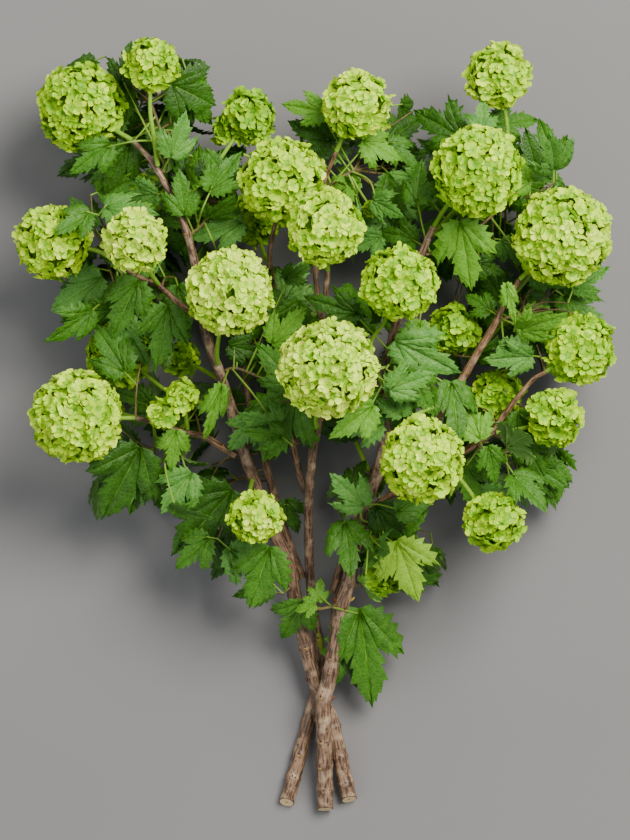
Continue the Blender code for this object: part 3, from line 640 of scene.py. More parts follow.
def fill_space(name, shoot, space, rng, wanted, taken, leaves, moves):
    """Grows leaves at seeded places in a mass's space until enough are in or the tries run out."""
    made = 0
    for _ in range(wanted * TRIES_PER_LEAF):
        if made == wanted:
            break
        found = filling(shoot, space, rng)
        leaf = found and grow_leaf(name, shoot, *found, BLADE_PLAIN, taken, moves)
        if leaf and clear_of_floor(leaf.blade) and clear_of_floor(tube_mesh(leaf.stalk, 3)):
            keep(leaf, name, taken, leaves)
            made += 1


def grow_fine_twigs(taken, limbs, shoots):
    """Finer twigs in each mass's space, with opposite pairs of smaller leaves, from its shoot or a limb."""
    extra = {}
    twigs = []
    for number, (name, _, space, _, _, _) in enumerate(MASSES):
        rng = random.Random(300 + number)
        low, high = space_corners(space)
        bearers = [budding(shoots[name])] + [spots_of(route) for route in limbs.values()]
        extra[name] = []
        for _ in range(TWIGS_TRIED):
            if len(extra[name]) >= SPARSE_MASSES.get(name, LEAVES_WANTED):
                break
            end = Vector([rng.uniform(low[k] + 8, high[k] - 8) for k in range(3)])
            end.z = min(end.z, rng.uniform(10, high.z - 30))
            root = nearest_of(bearers, end)
            if not FINE_TWIG_LENGTH[0] < (end - root).length < FINE_TWIG_LENGTH[1]:
                continue
            sag = Vector((rng.uniform(-6, 6), rng.uniform(-6, 6), rng.uniform(-4, 8)))
            mid = root.lerp(end, 0.5) + sag
            if any((spot - ball).length < radius + 2
                   for spot in (mid, end) for ball, radius in taken.balls):
                continue
            pairs = leaf_pairs(root, mid, end, low, high, rng, taken)
            if pairs:
                extra[name] += pairs
                twigs.append([(root, FINE_TWIG_R * 1.2), (mid, FINE_TWIG_R), (end, FINE_TWIG_R * 0.6)])
    return extra, twigs


def leaf_pairs(root, mid, end, low, high, rng, taken):
    """Opposite leaves at the middle and the end of a fine twig, each where there is room."""
    found = []
    for spot, ahead in ((mid, (end - root).normalized()), (end, (end - mid).normalized())):
        flat = ahead.cross(UP)
        flat = flat.normalized() if flat.length > 0.2 else EAST
        for hand in (1, -1):
            lean = (ahead * rng.uniform(0.2, 1.0) + flat * hand).normalized()
            base = spot + lean * rng.uniform(6, 13)
            wander = jitter(rng, 0.45) + HANGING
            tip = base + (lean + wander).normalized() * rng.uniform(*PAIR_LENGTH)
            if min(base.z, tip.z) < LOWEST_LEAF or not all(low[k] <= tip[k] <= high[k] for k in (0, 1)):
                continue
            out = (base + tip) / 2 - (low + high) / 2
            up = (base.z - CROWN_MIDDLE * 0.6) * 1.2 + rng.uniform(0, 40)
            normal = (Vector((out.x * 0.4, out.y * 0.4, up)) + jitter(rng, 18)).normalized()
            width = rng.uniform(*LEAF_BREADTH)
            blade = blade_mesh(base, tip, width, normal, BLADE_PLAIN, THIN_BLADE)
            if not clear_of_floor(blade) or taken.touches(blade):
                continue
            stalk = [(spot, PETIOLE_R), (base + lean * 3, PETIOLE_R * PETIOLE_TOP)]
            found.append(Leaf(base, tip, width, normal, stalk, blade))
            taken.add(blade, "pair")
    return found


# ---------------------------------------------------------------- finished shapes

SHARP_RIM = math.radians(75)
# Leaves and florets keep this far above the floor, and limbs and stalks the second height
FLOOR_CLEAR = 0.4
FLOOR_GAP = 0.1
# The grain of each tube starts somewhere else along this length
GRAIN_SPREAD = 9973


class Pile:
    """Points and faces of many small pieces of one kind, gathered into one mesh."""

    def __init__(self):
        self.points = []
        self.faces = []
        self.finishes = []
        self.straight = []
        self.count = 0

    def add(self, points, faces, finishes, straight=()):
        self.points.append(np.asarray(points, float))
        self.straight.extend(straight)
        start = self.count
        self.faces.extend([tuple(start + k for k in face) for face in faces])
        self.finishes.extend(finishes)
        self.count += len(points)

    def build(self, name, slot, finishes, stands_for=()):
        mesh = bpy.data.meshes.new(name)
        mesh.from_pydata((np.concatenate(self.points) * MM).tolist(), [], self.faces)
        for finish in finishes:
            mesh.materials.append(finish)
        mesh.polygons.foreach_set("material_index", self.finishes)
        mesh.polygons.foreach_set("use_smooth", [True] * len(mesh.polygons))
        if self.straight:
            straight = mesh.attributes.new("straight", "FLOAT_VECTOR", "POINT")
            straight.data.foreach_set("vector", np.array(self.straight).ravel())
        mesh.update()
        mesh.set_sharp_from_angle(angle=SHARP_RIM)
        piece = bpy.data.objects.new(name, mesh)
        bpy.context.scene.collection.objects.link(piece)
        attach(piece, "root")
        if stands_for:
            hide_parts(*stands_for)


def smooth_route(route, step):
    """The (point, radius) route as a smooth curve through its points, in even short steps."""
    points = [np.array(point) for point, _ in route]
    radii = [radius for _, radius in route]
    if len(points) == 2:
        points.insert(1, (points[0] + points[1]) / 2)
        radii.insert(1, (radii[0] + radii[1]) / 2)
    ends = [2 * points[0] - points[1]] + points + [2 * points[-1] - points[-2]]
    fine = []
    for i in range(len(points) - 1):
        a, b, c, d = ends[i:i + 4]
        pieces = max(2, int(round(np.linalg.norm(c - b) / step)))
        for k in range(pieces):
            t = k / pieces
            spot = 0.5 * (2 * b + (c - a) * t + (2 * a - 5 * b + 4 * c - d) * t * t
                          + (3 * b - a - 3 * c + d) * t ** 3)
            fine.append((Vector(spot), radii[i] * (1 - t) + radii[i + 1] * t))
    fine.append((Vector(points[-1]), radii[-1]))
    return fine


def length_of(fine):
    return sum((b[0] - a[0]).length for a, b in zip(fine, fine[1:]))


def tube_points(fine, sides, swell=None, foot_slant=0.0):
    """Rings of points round a smooth route. swell(run, turn) scales the radius."""
    rings = []
    run = 0.0
    for i, (ahead, side, across) in enumerate(ring_frames(spots_of(fine))):
        point, radius = fine[i]
        if i:
            run += (point - fine[i - 1][0]).length
        ring = []
        for k in range(sides):
            turn = 2 * math.pi * k / sides
            reach = radius * (swell(run, turn) if swell else 1.0)
            corner = point + outward(side, across, turn) * reach
            if foot_slant and run < 2 * radius:
                fade = 1 - run / (2 * radius)
                corner += ahead * (corner.z - point.z) * foot_slant * fade
            corner.z = max(corner.z, FLOOR_GAP)
            ring.append(corner)
        rings.append(ring)
    return rings


def add_tube(pile, fine, sides, finish=0, swell=None, foot_slant=0.0, close_foot=True):
    """A limb, stalk or bud along a smooth route, with a low point at its far end."""
    rings = tube_points(fine, sides, swell, foot_slant)
    points = [tuple(corner) for ring in rings for corner in ring]
    faces = []
    for i in range(len(rings) - 1):
        for k in range(sides):
            n = (k + 1) % sides
            low, high = i * sides, (i + 1) * sides
            faces.append((low + k, low + n, high + n, high + k))
    if close_foot:
        faces.append(tuple(reversed(range(sides))))
    last = (len(rings) - 1) * sides
    ahead = (fine[-1][0] - fine[-2][0]).normalized()
    points.append(tuple(fine[-1][0] + ahead * fine[-1][1] * 0.5))
    faces += [(last + k, last + (k + 1) % sides, len(points) - 1) for k in range(sides)]
    pile.add(points, faces, [finish] * len(faces), straightened(fine, sides, pile.count))
    return rings


def straightened(fine, sides, offset):
    """Where the points of a tube would lie, in mm, were it straight: the grain of bark follows this."""
    spots = []
    run = float(offset % GRAIN_SPREAD)
    for i, (point, radius) in enumerate(fine):
        if i:
            run += (point - fine[i - 1][0]).length
        for k in range(sides):
            turn = 2 * math.pi * k / sides
            spots.append((radius * math.cos(turn), radius * math.sin(turn), run))
    return spots + [(0.0, 0.0, run)]


# The right half of a snowball viburnum leaf. Each row runs from a main vein to the rim:
# share of the main vein, rim (along, aside), and -1 where a side vein sinks or +1 where it swells.
MIDDLE_LOBE = [
    (0.00, (0.0, 0.0), 0), (0.05, (0.14, 0.053), 1), (0.12, (0.28, 0.105), -1), (0.22, (0.41, 0.150), 1),
    (0.29, (0.588, 0.254), -1), (0.38, (0.578, 0.186), 1), (0.45, (0.758, 0.236), -1),
    (0.54, (0.742, 0.166), 1), (0.62, (0.888, 0.140), -1), (0.70, (0.872, 0.104), 1),
    (0.78, (0.972, 0.066), -1), (0.87, (0.962, 0.044), 1), (1.00, (1.07, 0.0), 0)]
SIDE_LOBE_INNER = [
    (0.00, (0.0, 0.0), 0), (0.08, (0.14, 0.053), 1), (0.18, (0.28, 0.105), -1), (0.32, (0.41, 0.150), 1),
    (0.43, (0.518, 0.282), -1), (0.54, (0.463, 0.288), 1), (0.64, (0.572, 0.408), -1),
    (0.76, (0.512, 0.404), 1), (1.00, (0.61, 0.54), 0)]
SIDE_LOBE_OUTER = [
    (0.00, (0.0, 0.0), 0), (0.03, (-0.02, 0.06), 0), (0.08, (-0.045, 0.168), -1),
    (0.16, (0.002, 0.176), 1), (0.23, (0.006, 0.316), -1), (0.33, (0.072, 0.284), 1),
    (0.41, (0.12, 0.430), -1), (0.51, (0.182, 0.366), 1), (0.59, (0.262, 0.502), -1),
    (0.69, (0.308, 0.428), 1), (0.77, (0.408, 0.550), -1), (0.88, (0.446, 0.478), 1),
    (1.00, (0.61, 0.54), 0)]
# The two inner lobes share this row, the notch between them, and the rows before it
NOTCH_ROW = 3
MIDDLE_TIP = Vector((1.05, 0.0))
# Half the width of a main vein, the rise between side veins, the rise and the sinking to the rim
VEIN_SHARE = 0.032
QUILT = 0.015
CROWNED = 0.03
SUNK_VEIN = 0.012
# How far a blade droops to its tip, folds up from its midrib, twists, bends its side lobes down and waves
DROOP = (0.08, 0.24)
FOLD = (0.10, 0.28)
TWIST = (-0.20, 0.20)
LOBE_BEND = (0.25, 0.80)
WAVE = (0.010, 0.024)
LEAF_SKIN = 0.35


def leaf_pattern(rng, columns):
    """One leaf in its own units: (along, aside, lift) points, faces and their finishes.

    Finish 0 is the upper skin and 1 the main veins."""
    spots = {}
    points = []
    faces = []
    finishes = []
    rim = set()
    slant = rng.uniform(-0.03, 0.03)
    for hand in (1, -1):
        lobe_tip = Vector((0.60 + rng.uniform(-0.06, 0.05), 0.53 + rng.uniform(-0.05, 0.03)))
        for rows, vein_tip in ((MIDDLE_LOBE, MIDDLE_TIP), (SIDE_LOBE_INNER, lobe_tip),
                               (SIDE_LOBE_OUTER, lobe_tip)):
            shared = 0 if rows is SIDE_LOBE_OUTER else NOTCH_ROW
            grid = []
            for i, (share, edge, ridge) in enumerate(rows):
                spot = Vector(edge)
                if i == len(rows) - 1:
                    spot = vein_tip.copy()
                elif i > shared:
                    spot += Vector((rng.uniform(-0.016, 0.016), rng.uniform(-0.014, 0.014)))
                root = vein_tip * share
                line = []
                for c in columns:
                    flat = root.lerp(spot, c)
                    lift = QUILT * ridge * math.sin(math.pi * c) + CROWNED * math.sin(math.pi * min(c, 0.9))
                    if ridge < 0:
                        lift -= SUNK_VEIN * c ** 3
                    key = (round(flat.x, 4), round(flat.y * hand, 4))
                    if key not in spots:
                        spots[key] = len(points)
                        points.append((flat.x, flat.y * hand + slant * flat.x, lift))
                    if c == 1.0 and not 0 < i < shared:
                        rim.add(spots[key])
                    line.append(spots[key])
                grid.append(line)
            for low, high in zip(grid, grid[1:]):
                for k in range(len(columns) - 1):
                    face = [low[k], high[k], high[k + 1], low[k + 1]]
                    face = [at for n, at in enumerate(face) if at != face[n - 1]]
                    if len(face) < 3:
                        continue
                    if area_of([points[at] for at in face]) < 0:
                        face.reverse()
                    for at in range(1, len(face) - 1):
                        faces.append((face[0], face[at], face[at + 1]))
                        finishes.append(1 if k == 0 else 0)
    return points, faces, finishes, rim


def area_of(corners):
    """Twice the area that the corners enclose, below nothing when they run clockwise."""
    return sum(a[0] * b[1] - a[1] * b[0] for a, b in zip(corners, corners[1:] + corners[:1]))


def leaf_points(pattern, leaf, rng, shift):
    """The pattern laid on one leaf, cupped along its midrib, drooping and a little waved.

    Finishes 2 and 3 are the underside and its veins, one skin below, closed along the rim."""
    points, faces, finishes, rim = pattern
    flat = np.array(points)
    along = leaf.tip - leaf.base
    length = along.length
    along = along / length
    normal = (leaf.normal - along * leaf.normal.dot(along)).normalized()
    across = normal.cross(along)
    u, v, w = flat[:, 0], flat[:, 1], flat[:, 2]
    droop, fold, twist, lobes, wave = [
        rng.uniform(*spread) for spread in (DROOP, FOLD, TWIST, LOBE_BEND, WAVE)]
    phase = rng.uniform(0, 6.28)
    lift = w + fold * np.abs(v) - lobes * np.maximum(0, np.abs(v) - 0.2) ** 2 * 3 - droop * u * u
    lift += twist * u * v + wave * np.sin(9 * u + 7 * v + phase) * np.minimum(1, 3 * np.abs(v))
    aside = v * leaf.width
    spots = (np.array(leaf.base + shift) + np.outer(u * length, along) + np.outer(aside * length, across)
             + np.outer(lift * length, normal))
    under = []
    back = {}
    for at in range(len(points)):
        if at in rim:
            back[at] = at
        else:
            back[at] = len(points) + len(under)
            under.append(spots[at] - np.array(normal) * LEAF_SKIN)
    both = np.concatenate([spots, np.array(under)])
    lifts = np.maximum(0, FLOOR_CLEAR - both[:, 2])
    both[:, 2] += lifts
    both[:len(points), 2] += np.where(lifts[:len(points)] > 0, LEAF_SKIN, 0)
    lower = [tuple(back[at] for at in reversed(face)) for face in faces]
    return both, faces + lower, finishes + [2 + finish for finish in finishes]


# One petal as (out from the floret's middle, aside, height), from its narrow foot to its round end
PETAL = [
    [(0.44, -0.32, 0.16), (0.42, 0.0, 0.0), (0.44, 0.32, 0.16)],
    [(0.74, -0.45, 0.39), (0.73, 0.0, 0.14), (0.74, 0.45, 0.39)],
    [(0.95, -0.28, 0.42), (1.04, 0.0, 0.32), (0.95, 0.28, 0.42)]]
PETALS = 5
PETAL_LENGTH = (0.86, 1.08)
PETAL_BREADTH = (0.88, 1.12)
# How far a petal's end curls back or in
PETAL_CURL = (-0.8, 0.4)
# The eye: its radius, the height of its middle and of its rim
EYE_R, EYE_TOP, EYE_RIM = 0.20, 0.07, -0.04


def floret_pattern(rng):
    """Five rounded petals round a small green eye, in units of the floret's own radius.

    Finish 0 is the petal, 1 the eye and 2 the petal's foot, whose greener, darker colour is partly painted
    shade in the cup."""
    points = [(0.0, 0.0, EYE_TOP)]
    faces = []
    finishes = []
    hub = []
    for k in range(PETALS):
        turn = 2 * math.pi * (k + 0.5) / PETALS
        hub.append(len(points))
        points.append((EYE_R * math.cos(turn), EYE_R * math.sin(turn), EYE_RIM))
    for k in range(PETALS):
        a, b = hub[k - 1], hub[k]
        turn = 2 * math.pi * k / PETALS + rng.uniform(-0.12, 0.12)
        size, broad, curl = [rng.uniform(*spread) for spread in (PETAL_LENGTH, PETAL_BREADTH, PETAL_CURL)]
        rows = []
        for row in PETAL:
            line = []
            for out, aside, height in row:
                out, aside = out * size, aside * broad
                line.append(len(points))
                points.append((out * math.cos(turn) - aside * math.sin(turn),
                               out * math.sin(turn) + aside * math.cos(turn),
                               height + curl * max(0.0, out - 0.4) ** 1.5))
            rows.append(line)
        left, middle, right = rows[0]
        foot = [(a, left, middle), (a, middle, b), (b, middle, right)]
        petal = []
        for low, high in zip(rows, rows[1:]):
            petal += [(low[0], high[0], high[1], low[1]), (low[1], high[1], high[2], low[2])]
        faces += [(0, a, b)] + foot + petal
        finishes += [1] + [2] * len(foot) + [0] * len(petal)
    return np.array(points), faces, finishes


def facing(normal, spin):
    """A turn that lays a pattern's +Z along the given way, with a spin about it."""
    turned = UP.rotation_difference(normal).to_matrix()
    return np.array(turned) @ np.array([[math.cos(spin), -math.sin(spin), 0],
                                        [math.sin(spin), math.cos(spin), 0], [0, 0, 1]])


# ---------------------------------------------------------------- finishes

# Waxy skin, cork, wood and paper all bend light about this much
PLANT_IOR = 1.45
# How much the wax on a petal or stalk, and on a leaf, throws back
SKIN_SHEEN, LEAF_SHEEN = 0.28, 0.32
# Where one clouded colour begins to give way to the other, and where it has gone
SOFT_FADE, WOOD_FADE, BARK_FADE, PAPER_FADE = (0.35, 0.65), (0.35, 0.7), (0.40, 0.60), (0.3, 0.7)
# Clouds and cells of a leaf, in millimetres across, and how deep its net of veins is drawn in
LEAF_CLOUD, LEAF_CELL, LEAF_RELIEF = 9, 3.2, 0.5
# Bark: lines, worn patches and pores to the millimetre, and the lines' breadth over their length.
# The lines are about three times coarser than real ones, or the picture could not show them.
BARK_LINES, BARK_PATCHES, BARK_PORES, BARK_STRETCH = 0.62, 0.11, 0.3, 0.16
# Grain of cut wood and clouds of the paper, to the metre
WOOD_GRAIN, PAPER_CLOUDS = 900, 2.5


def colour(hex_code):
    """An sRGB hex colour as linear RGBA."""
    shares = [int(hex_code[k:k + 2], 16) / 255 for k in (1, 3, 5)]
    linear = [s / 12.92 if s <= 0.04045 else ((s + 0.055) / 1.055) ** 2.4 for s in shares]
    return (*linear, 1.0)


def add_node(tree, kind, settings, links=()):
    """Adds one node, sets its properties and inputs, and links (output, input) pairs into it."""
    node = tree.nodes.new(kind)
    for key, value in settings.items():
        if isinstance(key, str) and hasattr(node, key):
            setattr(node, key, value)
        else:
            node.inputs[key].default_value = value
    for output, entry in links:
        tree.links.new(output, node.inputs[entry])
    return node


def new_finish(name, roughness):
    finish = bpy.data.materials.new(name)
    finish.use_nodes = True
    shader = finish.node_tree.nodes["Principled BSDF"]
    shader.inputs["Roughness"].default_value = roughness
    shader.inputs["IOR"].default_value = PLANT_IOR
    return finish, finish.node_tree, shader


def blotched(tree, place_output, scale, detail, fade, first, second):
    """Two hex colours mixed by a soft noise, and the noise itself as a height."""
    cloud = add_node(tree, "ShaderNodeTexNoise", {"Scale": scale, "Detail": detail},
                     [(place_output, "Vector")])
    share = add_node(tree, "ShaderNodeMapRange", {"From Min": fade[0], "From Max": fade[1]},
                     [(cloud.outputs[0], 0)])
    mix = add_node(tree, "ShaderNodeMix", {"data_type": "RGBA", 6: colour(first), 7: colour(second)},
                   [(share.outputs[0], 0)])
    return mix.outputs[2], cloud.outputs[0]


def soft_tissue(name, base, second, roughness, grain_mm, bump_mm):
    """Petal, leaf or green stalk: living skin with a waxy film, clouded from cell to cell.

    The clouding is grain_mm across and the relief bump_mm deep."""
    finish, tree, shader = new_finish(name, roughness)
    place_output = add_node(tree, "ShaderNodeTexCoord", {}).outputs["Object"]
    clouds, height = blotched(tree, place_output, 1000 / grain_mm, 3.0, SOFT_FADE, base, second)
    tree.links.new(clouds, shader.inputs["Base Color"])
    relief = add_node(tree, "ShaderNodeBump", {"Strength": 0.5, "Distance": bump_mm * MM},
                      [(height, "Height")])
    tree.links.new(relief.outputs[0], shader.inputs["Normal"])
    shader.inputs["Specular IOR Level"].default_value = SKIN_SHEEN
    return finish


def leaf_skin(name, base, second, vein):
    """The upper side of a viburnum leaf: a thin waxy blade drawn in over its net of veins.

    The net is paler than the cells between, each about 3 mm across, and the light catches their rise."""
    finish, tree, shader = new_finish(name, 0.46)
    place_output = add_node(tree, "ShaderNodeTexCoord", {}).outputs["Object"]
    clouds, _ = blotched(tree, place_output, 1000 / LEAF_CLOUD, 3.0, SOFT_FADE, base, second)
    net = add_node(tree, "ShaderNodeTexVoronoi", {"feature": "DISTANCE_TO_EDGE", "Scale": 1000 / LEAF_CELL},
                   [(place_output, "Vector")])
    vein_share = add_node(tree, "ShaderNodeMapRange", {"From Min": 0.12, "From Max": 0.0, "To Max": 0.24},
                          [(net.outputs[0], 0)])
    mix = add_node(tree, "ShaderNodeMix", {"data_type": "RGBA", 7: colour(vein)},
                   [(vein_share.outputs[0], 0), (clouds, 6)])
    tree.links.new(mix.outputs[2], shader.inputs["Base Color"])
    cells = add_node(tree, "ShaderNodeMapRange", {"From Max": 0.3}, [(net.outputs[0], 0)])
    relief = add_node(tree, "ShaderNodeBump", {"Strength": 0.55, "Distance": LEAF_RELIEF * MM},
                      [(cells.outputs[0], "Height")])
    tree.links.new(relief.outputs[0], shader.inputs["Normal"])
    shader.inputs["Specular IOR Level"].default_value = LEAF_SHEEN
    return finish


def young_bark(name, base, dark, pale, roughness=0.5):
    """Viburnum bark of two or three years: a thin tight skin of brown cork over green, split into fine
    long lines, with worn silvery patches and corky pores about 1 mm across. It reads as satin,
    streaked along the limb and speckled."""
    finish, tree, shader = new_finish(name, roughness)
    along_limb = add_node(tree, "ShaderNodeAttribute", {"attribute_name": "straight"}).outputs["Vector"]
    stretched = add_node(tree, "ShaderNodeMapping", {"Scale": (1.0, 1.0, BARK_STRETCH)},
                         [(along_limb, "Vector")])
    streaks, height = blotched(tree, stretched.outputs[0], BARK_LINES, 7.0, BARK_FADE, dark, base)
    patches = add_node(tree, "ShaderNodeTexNoise", {"Scale": BARK_PATCHES, "Detail": 4.0},
                       [(along_limb, "Vector")])
    patch_share = add_node(tree, "ShaderNodeMapRange", {"From Min": 0.50, "From Max": 0.70, "To Max": 0.55},
                           [(patches.outputs[0], 0)])
    worn = add_node(tree, "ShaderNodeMix", {"data_type": "RGBA", 7: colour(pale)},
                    [(patch_share.outputs[0], 0), (streaks, 6)])
    pores = add_node(tree, "ShaderNodeTexVoronoi", {"Scale": BARK_PORES}, [(along_limb, "Vector")])
    pore_share = add_node(tree, "ShaderNodeMapRange", {"From Min": 0.22, "From Max": 0.14},
                          [(pores.outputs[0], 0)])
    speckled = add_node(tree, "ShaderNodeMix", {"data_type": "RGBA", 7: colour(dark)},
                        [(pore_share.outputs[0], 0), (worn.outputs[2], 6)])
    tree.links.new(speckled.outputs[2], shader.inputs["Base Color"])
    lines = add_node(tree, "ShaderNodeBump", {"Strength": 0.8, "Distance": 0.6 * MM}, [(height, "Height")])
    dots = add_node(tree, "ShaderNodeBump", {"Strength": 0.6, "Distance": 0.4 * MM},
                    [(pore_share.outputs[0], "Height"), (lines.outputs[0], "Normal")])
    tree.links.new(dots.outputs[0], shader.inputs["Normal"])
    return finish


def cut_wood(name, base, ring):
    """Fresh sapwood sheared across: matt, pale and slightly damp, with fine year rings."""
    finish, tree, shader = new_finish(name, 0.7)
    place_output = add_node(tree, "ShaderNodeTexCoord", {}).outputs["Object"]
    grain, height = blotched(tree, place_output, WOOD_GRAIN, 4.0, WOOD_FADE, base, ring)
    tree.links.new(grain, shader.inputs["Base Color"])
    relief = add_node(tree, "ShaderNodeBump", {"Strength": 0.4, "Distance": 0.3 * MM}, [(height, "Height")])
    tree.links.new(relief.outputs[0], shader.inputs["Normal"])
    return finish


def matt_paper(name, base, second):
    """A studio floor of matt coated paper: even, with a tooth too fine to see and a faint cloudiness."""
    finish, tree, shader = new_finish(name, 0.85)
    place_output = add_node(tree, "ShaderNodeTexCoord", {}).outputs["Object"]
    clouds, _ = blotched(tree, place_output, PAPER_CLOUDS, 2.0, PAPER_FADE, base, second)
    tree.links.new(clouds, shader.inputs["Base Color"])
    return finish


# ---------------------------------------------------------------- flower heads

# Petal, its foot and the eye of the floret. The foot is greener and darker than the petal: partly the
# floret's own green middle, partly painted shade in the floret's cup
HEAD_COLOURS = {
    "cream": ("#EAFE62", "#C0EA20", "#70AC0C"),
    "pale": ("#DAF82C", "#A8DA0E", "#649E08"),
    "fresh": ("#C4EC10", "#94CA06", "#589206"),
    "green": ("#A2D212", "#7CB60A", "#508A06"),
}
# Which shade each head mostly has; any head not named is fresh. The highest heads are cream and pale and
# those lying lower and further back mostly green: partly how open each head is, partly painted light on the
# top heads and painted shade on the lower ones
HEAD_SHADES = {
    "head_centre": "cream", "head_centre_left": "cream", "head_left_inner": "cream",
    "head_upper_front": "pale", "head_lower_right": "pale", "head_lower_left": "pale",
    "head_right": "pale", "head_upper_middle": "pale", "head_low_middle": "pale",
    "head_top_middle": "pale", "head_left": "pale", "head_top_right": "pale",
    "head_right_back": "green", "head_left_low_back": "green", "head_right_inner": "green",
    "head_top_back": "green", "head_left_back": "green", "head_upper_middle_back": "green",
    "head_left_middle_small": "green", "head_low_right_back": "green",
}
# Heads too small for a solid of their own, in the same terms as the others
SMALL_HEADS = [
    ("head_tiny_middle", "top_bough", [(372, 208, 104, 8)], 1.0,
     [(352, 176, 98), (360, 190, 100), (369, 204, 103)]),
]
SHADE_ORDER = ["green", "fresh", "pale", "cream"]
# This share of the florets is one shade older, and as many are one shade younger
ODD_SHADE = 0.15
# Square millimetres of the ball for each floret, a floret's radius and how much it varies
FLORET_AREA = 66.0
FLORET_R = 6.3
FLORET_SIZE = (0.84, 1.12)
FLORET_PATTERNS = 10
# How far the florets sit inside the ball: at least, at most besides, and in its hollows
FLORET_SUNK, FLORET_UNEVEN, FLORET_HOLLOW = 2.4, 4.6, 6.0
FLORET_LEAN = 0.4
# A floret's stalk starts at this share of its way out
PEDICEL_START, PEDICEL_R = 0.62, 0.55
# The knot of stalks inside a head: share of its radius and how lumpy it is
CORE_SHARE, CORE_LUMPS = 0.72, 0.10
# Stalks of the heads: length of one step, sides, and the radius of a tiny head's stalk
HEAD_STALK_STEP, HEAD_STALK_SIDES = 4.0, 8
TINY_STALK_R = 1.0


def head_shade(name):
    return HEAD_SHADES.get(name, "fresh")


def add_florets(piles, pedicels, shade, centre, radius, flatness, rng, patterns):
    """Florets spread evenly over a ball, each facing out and leaning a little, with their stalks."""
    count = int(4 * math.pi * radius * radius / FLORET_AREA)
    order = SHADE_ORDER.index(shade)
    start = rng.uniform(0, 6.28)
    for i in range(count):
        z = 1 - 2 * (i + 0.5) / count + rng.uniform(-0.5, 0.5) / count
        z = max(-1.0, min(1.0, z))
        ring = math.sqrt(1 - z * z)
        turn = GOLDEN_TURN * i + start + rng.uniform(-0.10, 0.10)
        out = Vector((ring * math.cos(turn), ring * math.sin(turn), z))
        hollow = noise.noise(out * 3.2 + Vector((start, 0, 0)))
        depth = (radius - FLORET_SUNK - FLORET_UNEVEN * rng.random() ** 1.4
                 - FLORET_HOLLOW * max(0.0, hollow))
        normal = Vector((out.x, out.y / flatness, out.z)).normalized()
        lean = Vector([rng.gauss(0, FLORET_LEAN) for _ in range(3)])
        normal = (normal + lean).normalized()
        spot = centre + Vector((out.x, out.y * flatness, out.z)) * depth
        size = FLORET_R * rng.uniform(*FLORET_SIZE)
        points, faces, finishes = patterns[rng.randrange(len(patterns))]
        laid = points @ (facing(normal, rng.uniform(0, 6.28)) * size).T + np.array(spot)
        laid[:, 2] = np.maximum(laid[:, 2], FLOOR_CLEAR)
        drift = rng.random()
        pick = order + (1 if drift > 1 - ODD_SHADE else 0) - (1 if drift < ODD_SHADE else 0)
        piles[SHADE_ORDER[max(0, min(3, pick))]].add(laid, faces, finishes)
        add_pedicel(pedicels, centre + (spot - centre) * PEDICEL_START, spot)


def add_pedicel(pile, foot, top):
    """The thin three-sided stalk of one floret."""
    ahead = (top - foot).normalized()
    side = ahead.orthogonal().normalized()
    across = ahead.cross(side)
    points = [tuple(spot + outward(side, across, 2 * math.pi * k / 3) * PEDICEL_R)
              for spot in (foot, top) for k in range(3)]
    faces = [(k, (k + 1) % 3, 3 + (k + 1) % 3, 3 + k) for k in range(3)]
    pile.add(points, faces, [0] * 3)


def add_core(pile, centre, radius, flatness, seed):
    """The knot of branching stalks inside a head, as a lumpy green ball, its darker green partly painted
    shade between the florets.
    """
    mesh = bmesh.new()
    bmesh.ops.create_icosphere(mesh, subdivisions=3, radius=1.0)
    points = []
    for vert in mesh.verts:
        lump = 1 + CORE_LUMPS * noise.noise(vert.co * 5 + Vector((seed, 0, 0)))
        spot = centre + Vector((vert.co.x, vert.co.y * flatness, vert.co.z)) * radius * lump
        points.append((spot.x, spot.y, max(spot.z, FLOOR_CLEAR)))
    faces = [tuple(vert.index for vert in face.verts) for face in mesh.faces]
    mesh.free()
    pile.add(points, faces, [0] * len(faces))


def make_heads(stalks):
    rng = random.Random(11)
    patterns = [floret_pattern(rng) for _ in range(FLORET_PATTERNS)]
    piles = {shade: Pile() for shade in SHADE_ORDER}
    cores, pedicels, peduncles = Pile(), Pile(), Pile()
    for number, (name, _, balls, flatness, stalk) in enumerate(HEADS + SMALL_HEADS):
        for k, ball in enumerate(balls):
            centre, radius = place(ball), ball[3]
            rng = random.Random(1000 + number * 3 + k)
            add_florets(piles, pedicels, head_shade(name), centre, radius, flatness, rng, patterns)
            add_core(cores, centre, radius * CORE_SHARE, flatness, number)
        route = stalks.get(name) or [(place(spot), TINY_STALK_R) for spot in stalk]
        add_tube(peduncles, smooth_route(route, HEAD_STALK_STEP), HEAD_STALK_SIDES)
    for shade in SHADE_ORDER:
        rim, foot, eye = HEAD_COLOURS[shade]
        petal = soft_tissue("petal_" + shade, rim, foot, 0.5, 9.0, 0.15)
        # The petal's foot: partly the floret's own green middle, partly painted shade in its cup
        throat = soft_tissue("petal_foot_" + shade, foot, eye, 0.5, 9.0, 0.1)
        middle = soft_tissue("floret_eye_" + shade, eye, foot, 0.6, 1.5, 0.1)
        names = [row[0] for row in HEADS if head_shade(row[0]) == shade]
        piles[shade].build("florets_" + shade, "flowers", [petal, middle, throat], names)
    # The knot and the floret stalks: a darker green than the outer stalks, painted shade inside the head
    knot = soft_tissue("head_stalk_knot_painted_shade", "#5F8C12", "#4C7408", 0.6, 2.0, 0.3)
    cores.build("head_cores", "flowers", [knot])
    pedicels.build("floret_stalks", "flowers", [knot])
    stalk_green = soft_tissue("flower_stalk", "#86B036", "#74A028", 0.45, 3.0, 0.1)
    peduncles.build("flower_stalks", "flowers", [stalk_green])


# ---------------------------------------------------------------- stems and boughs

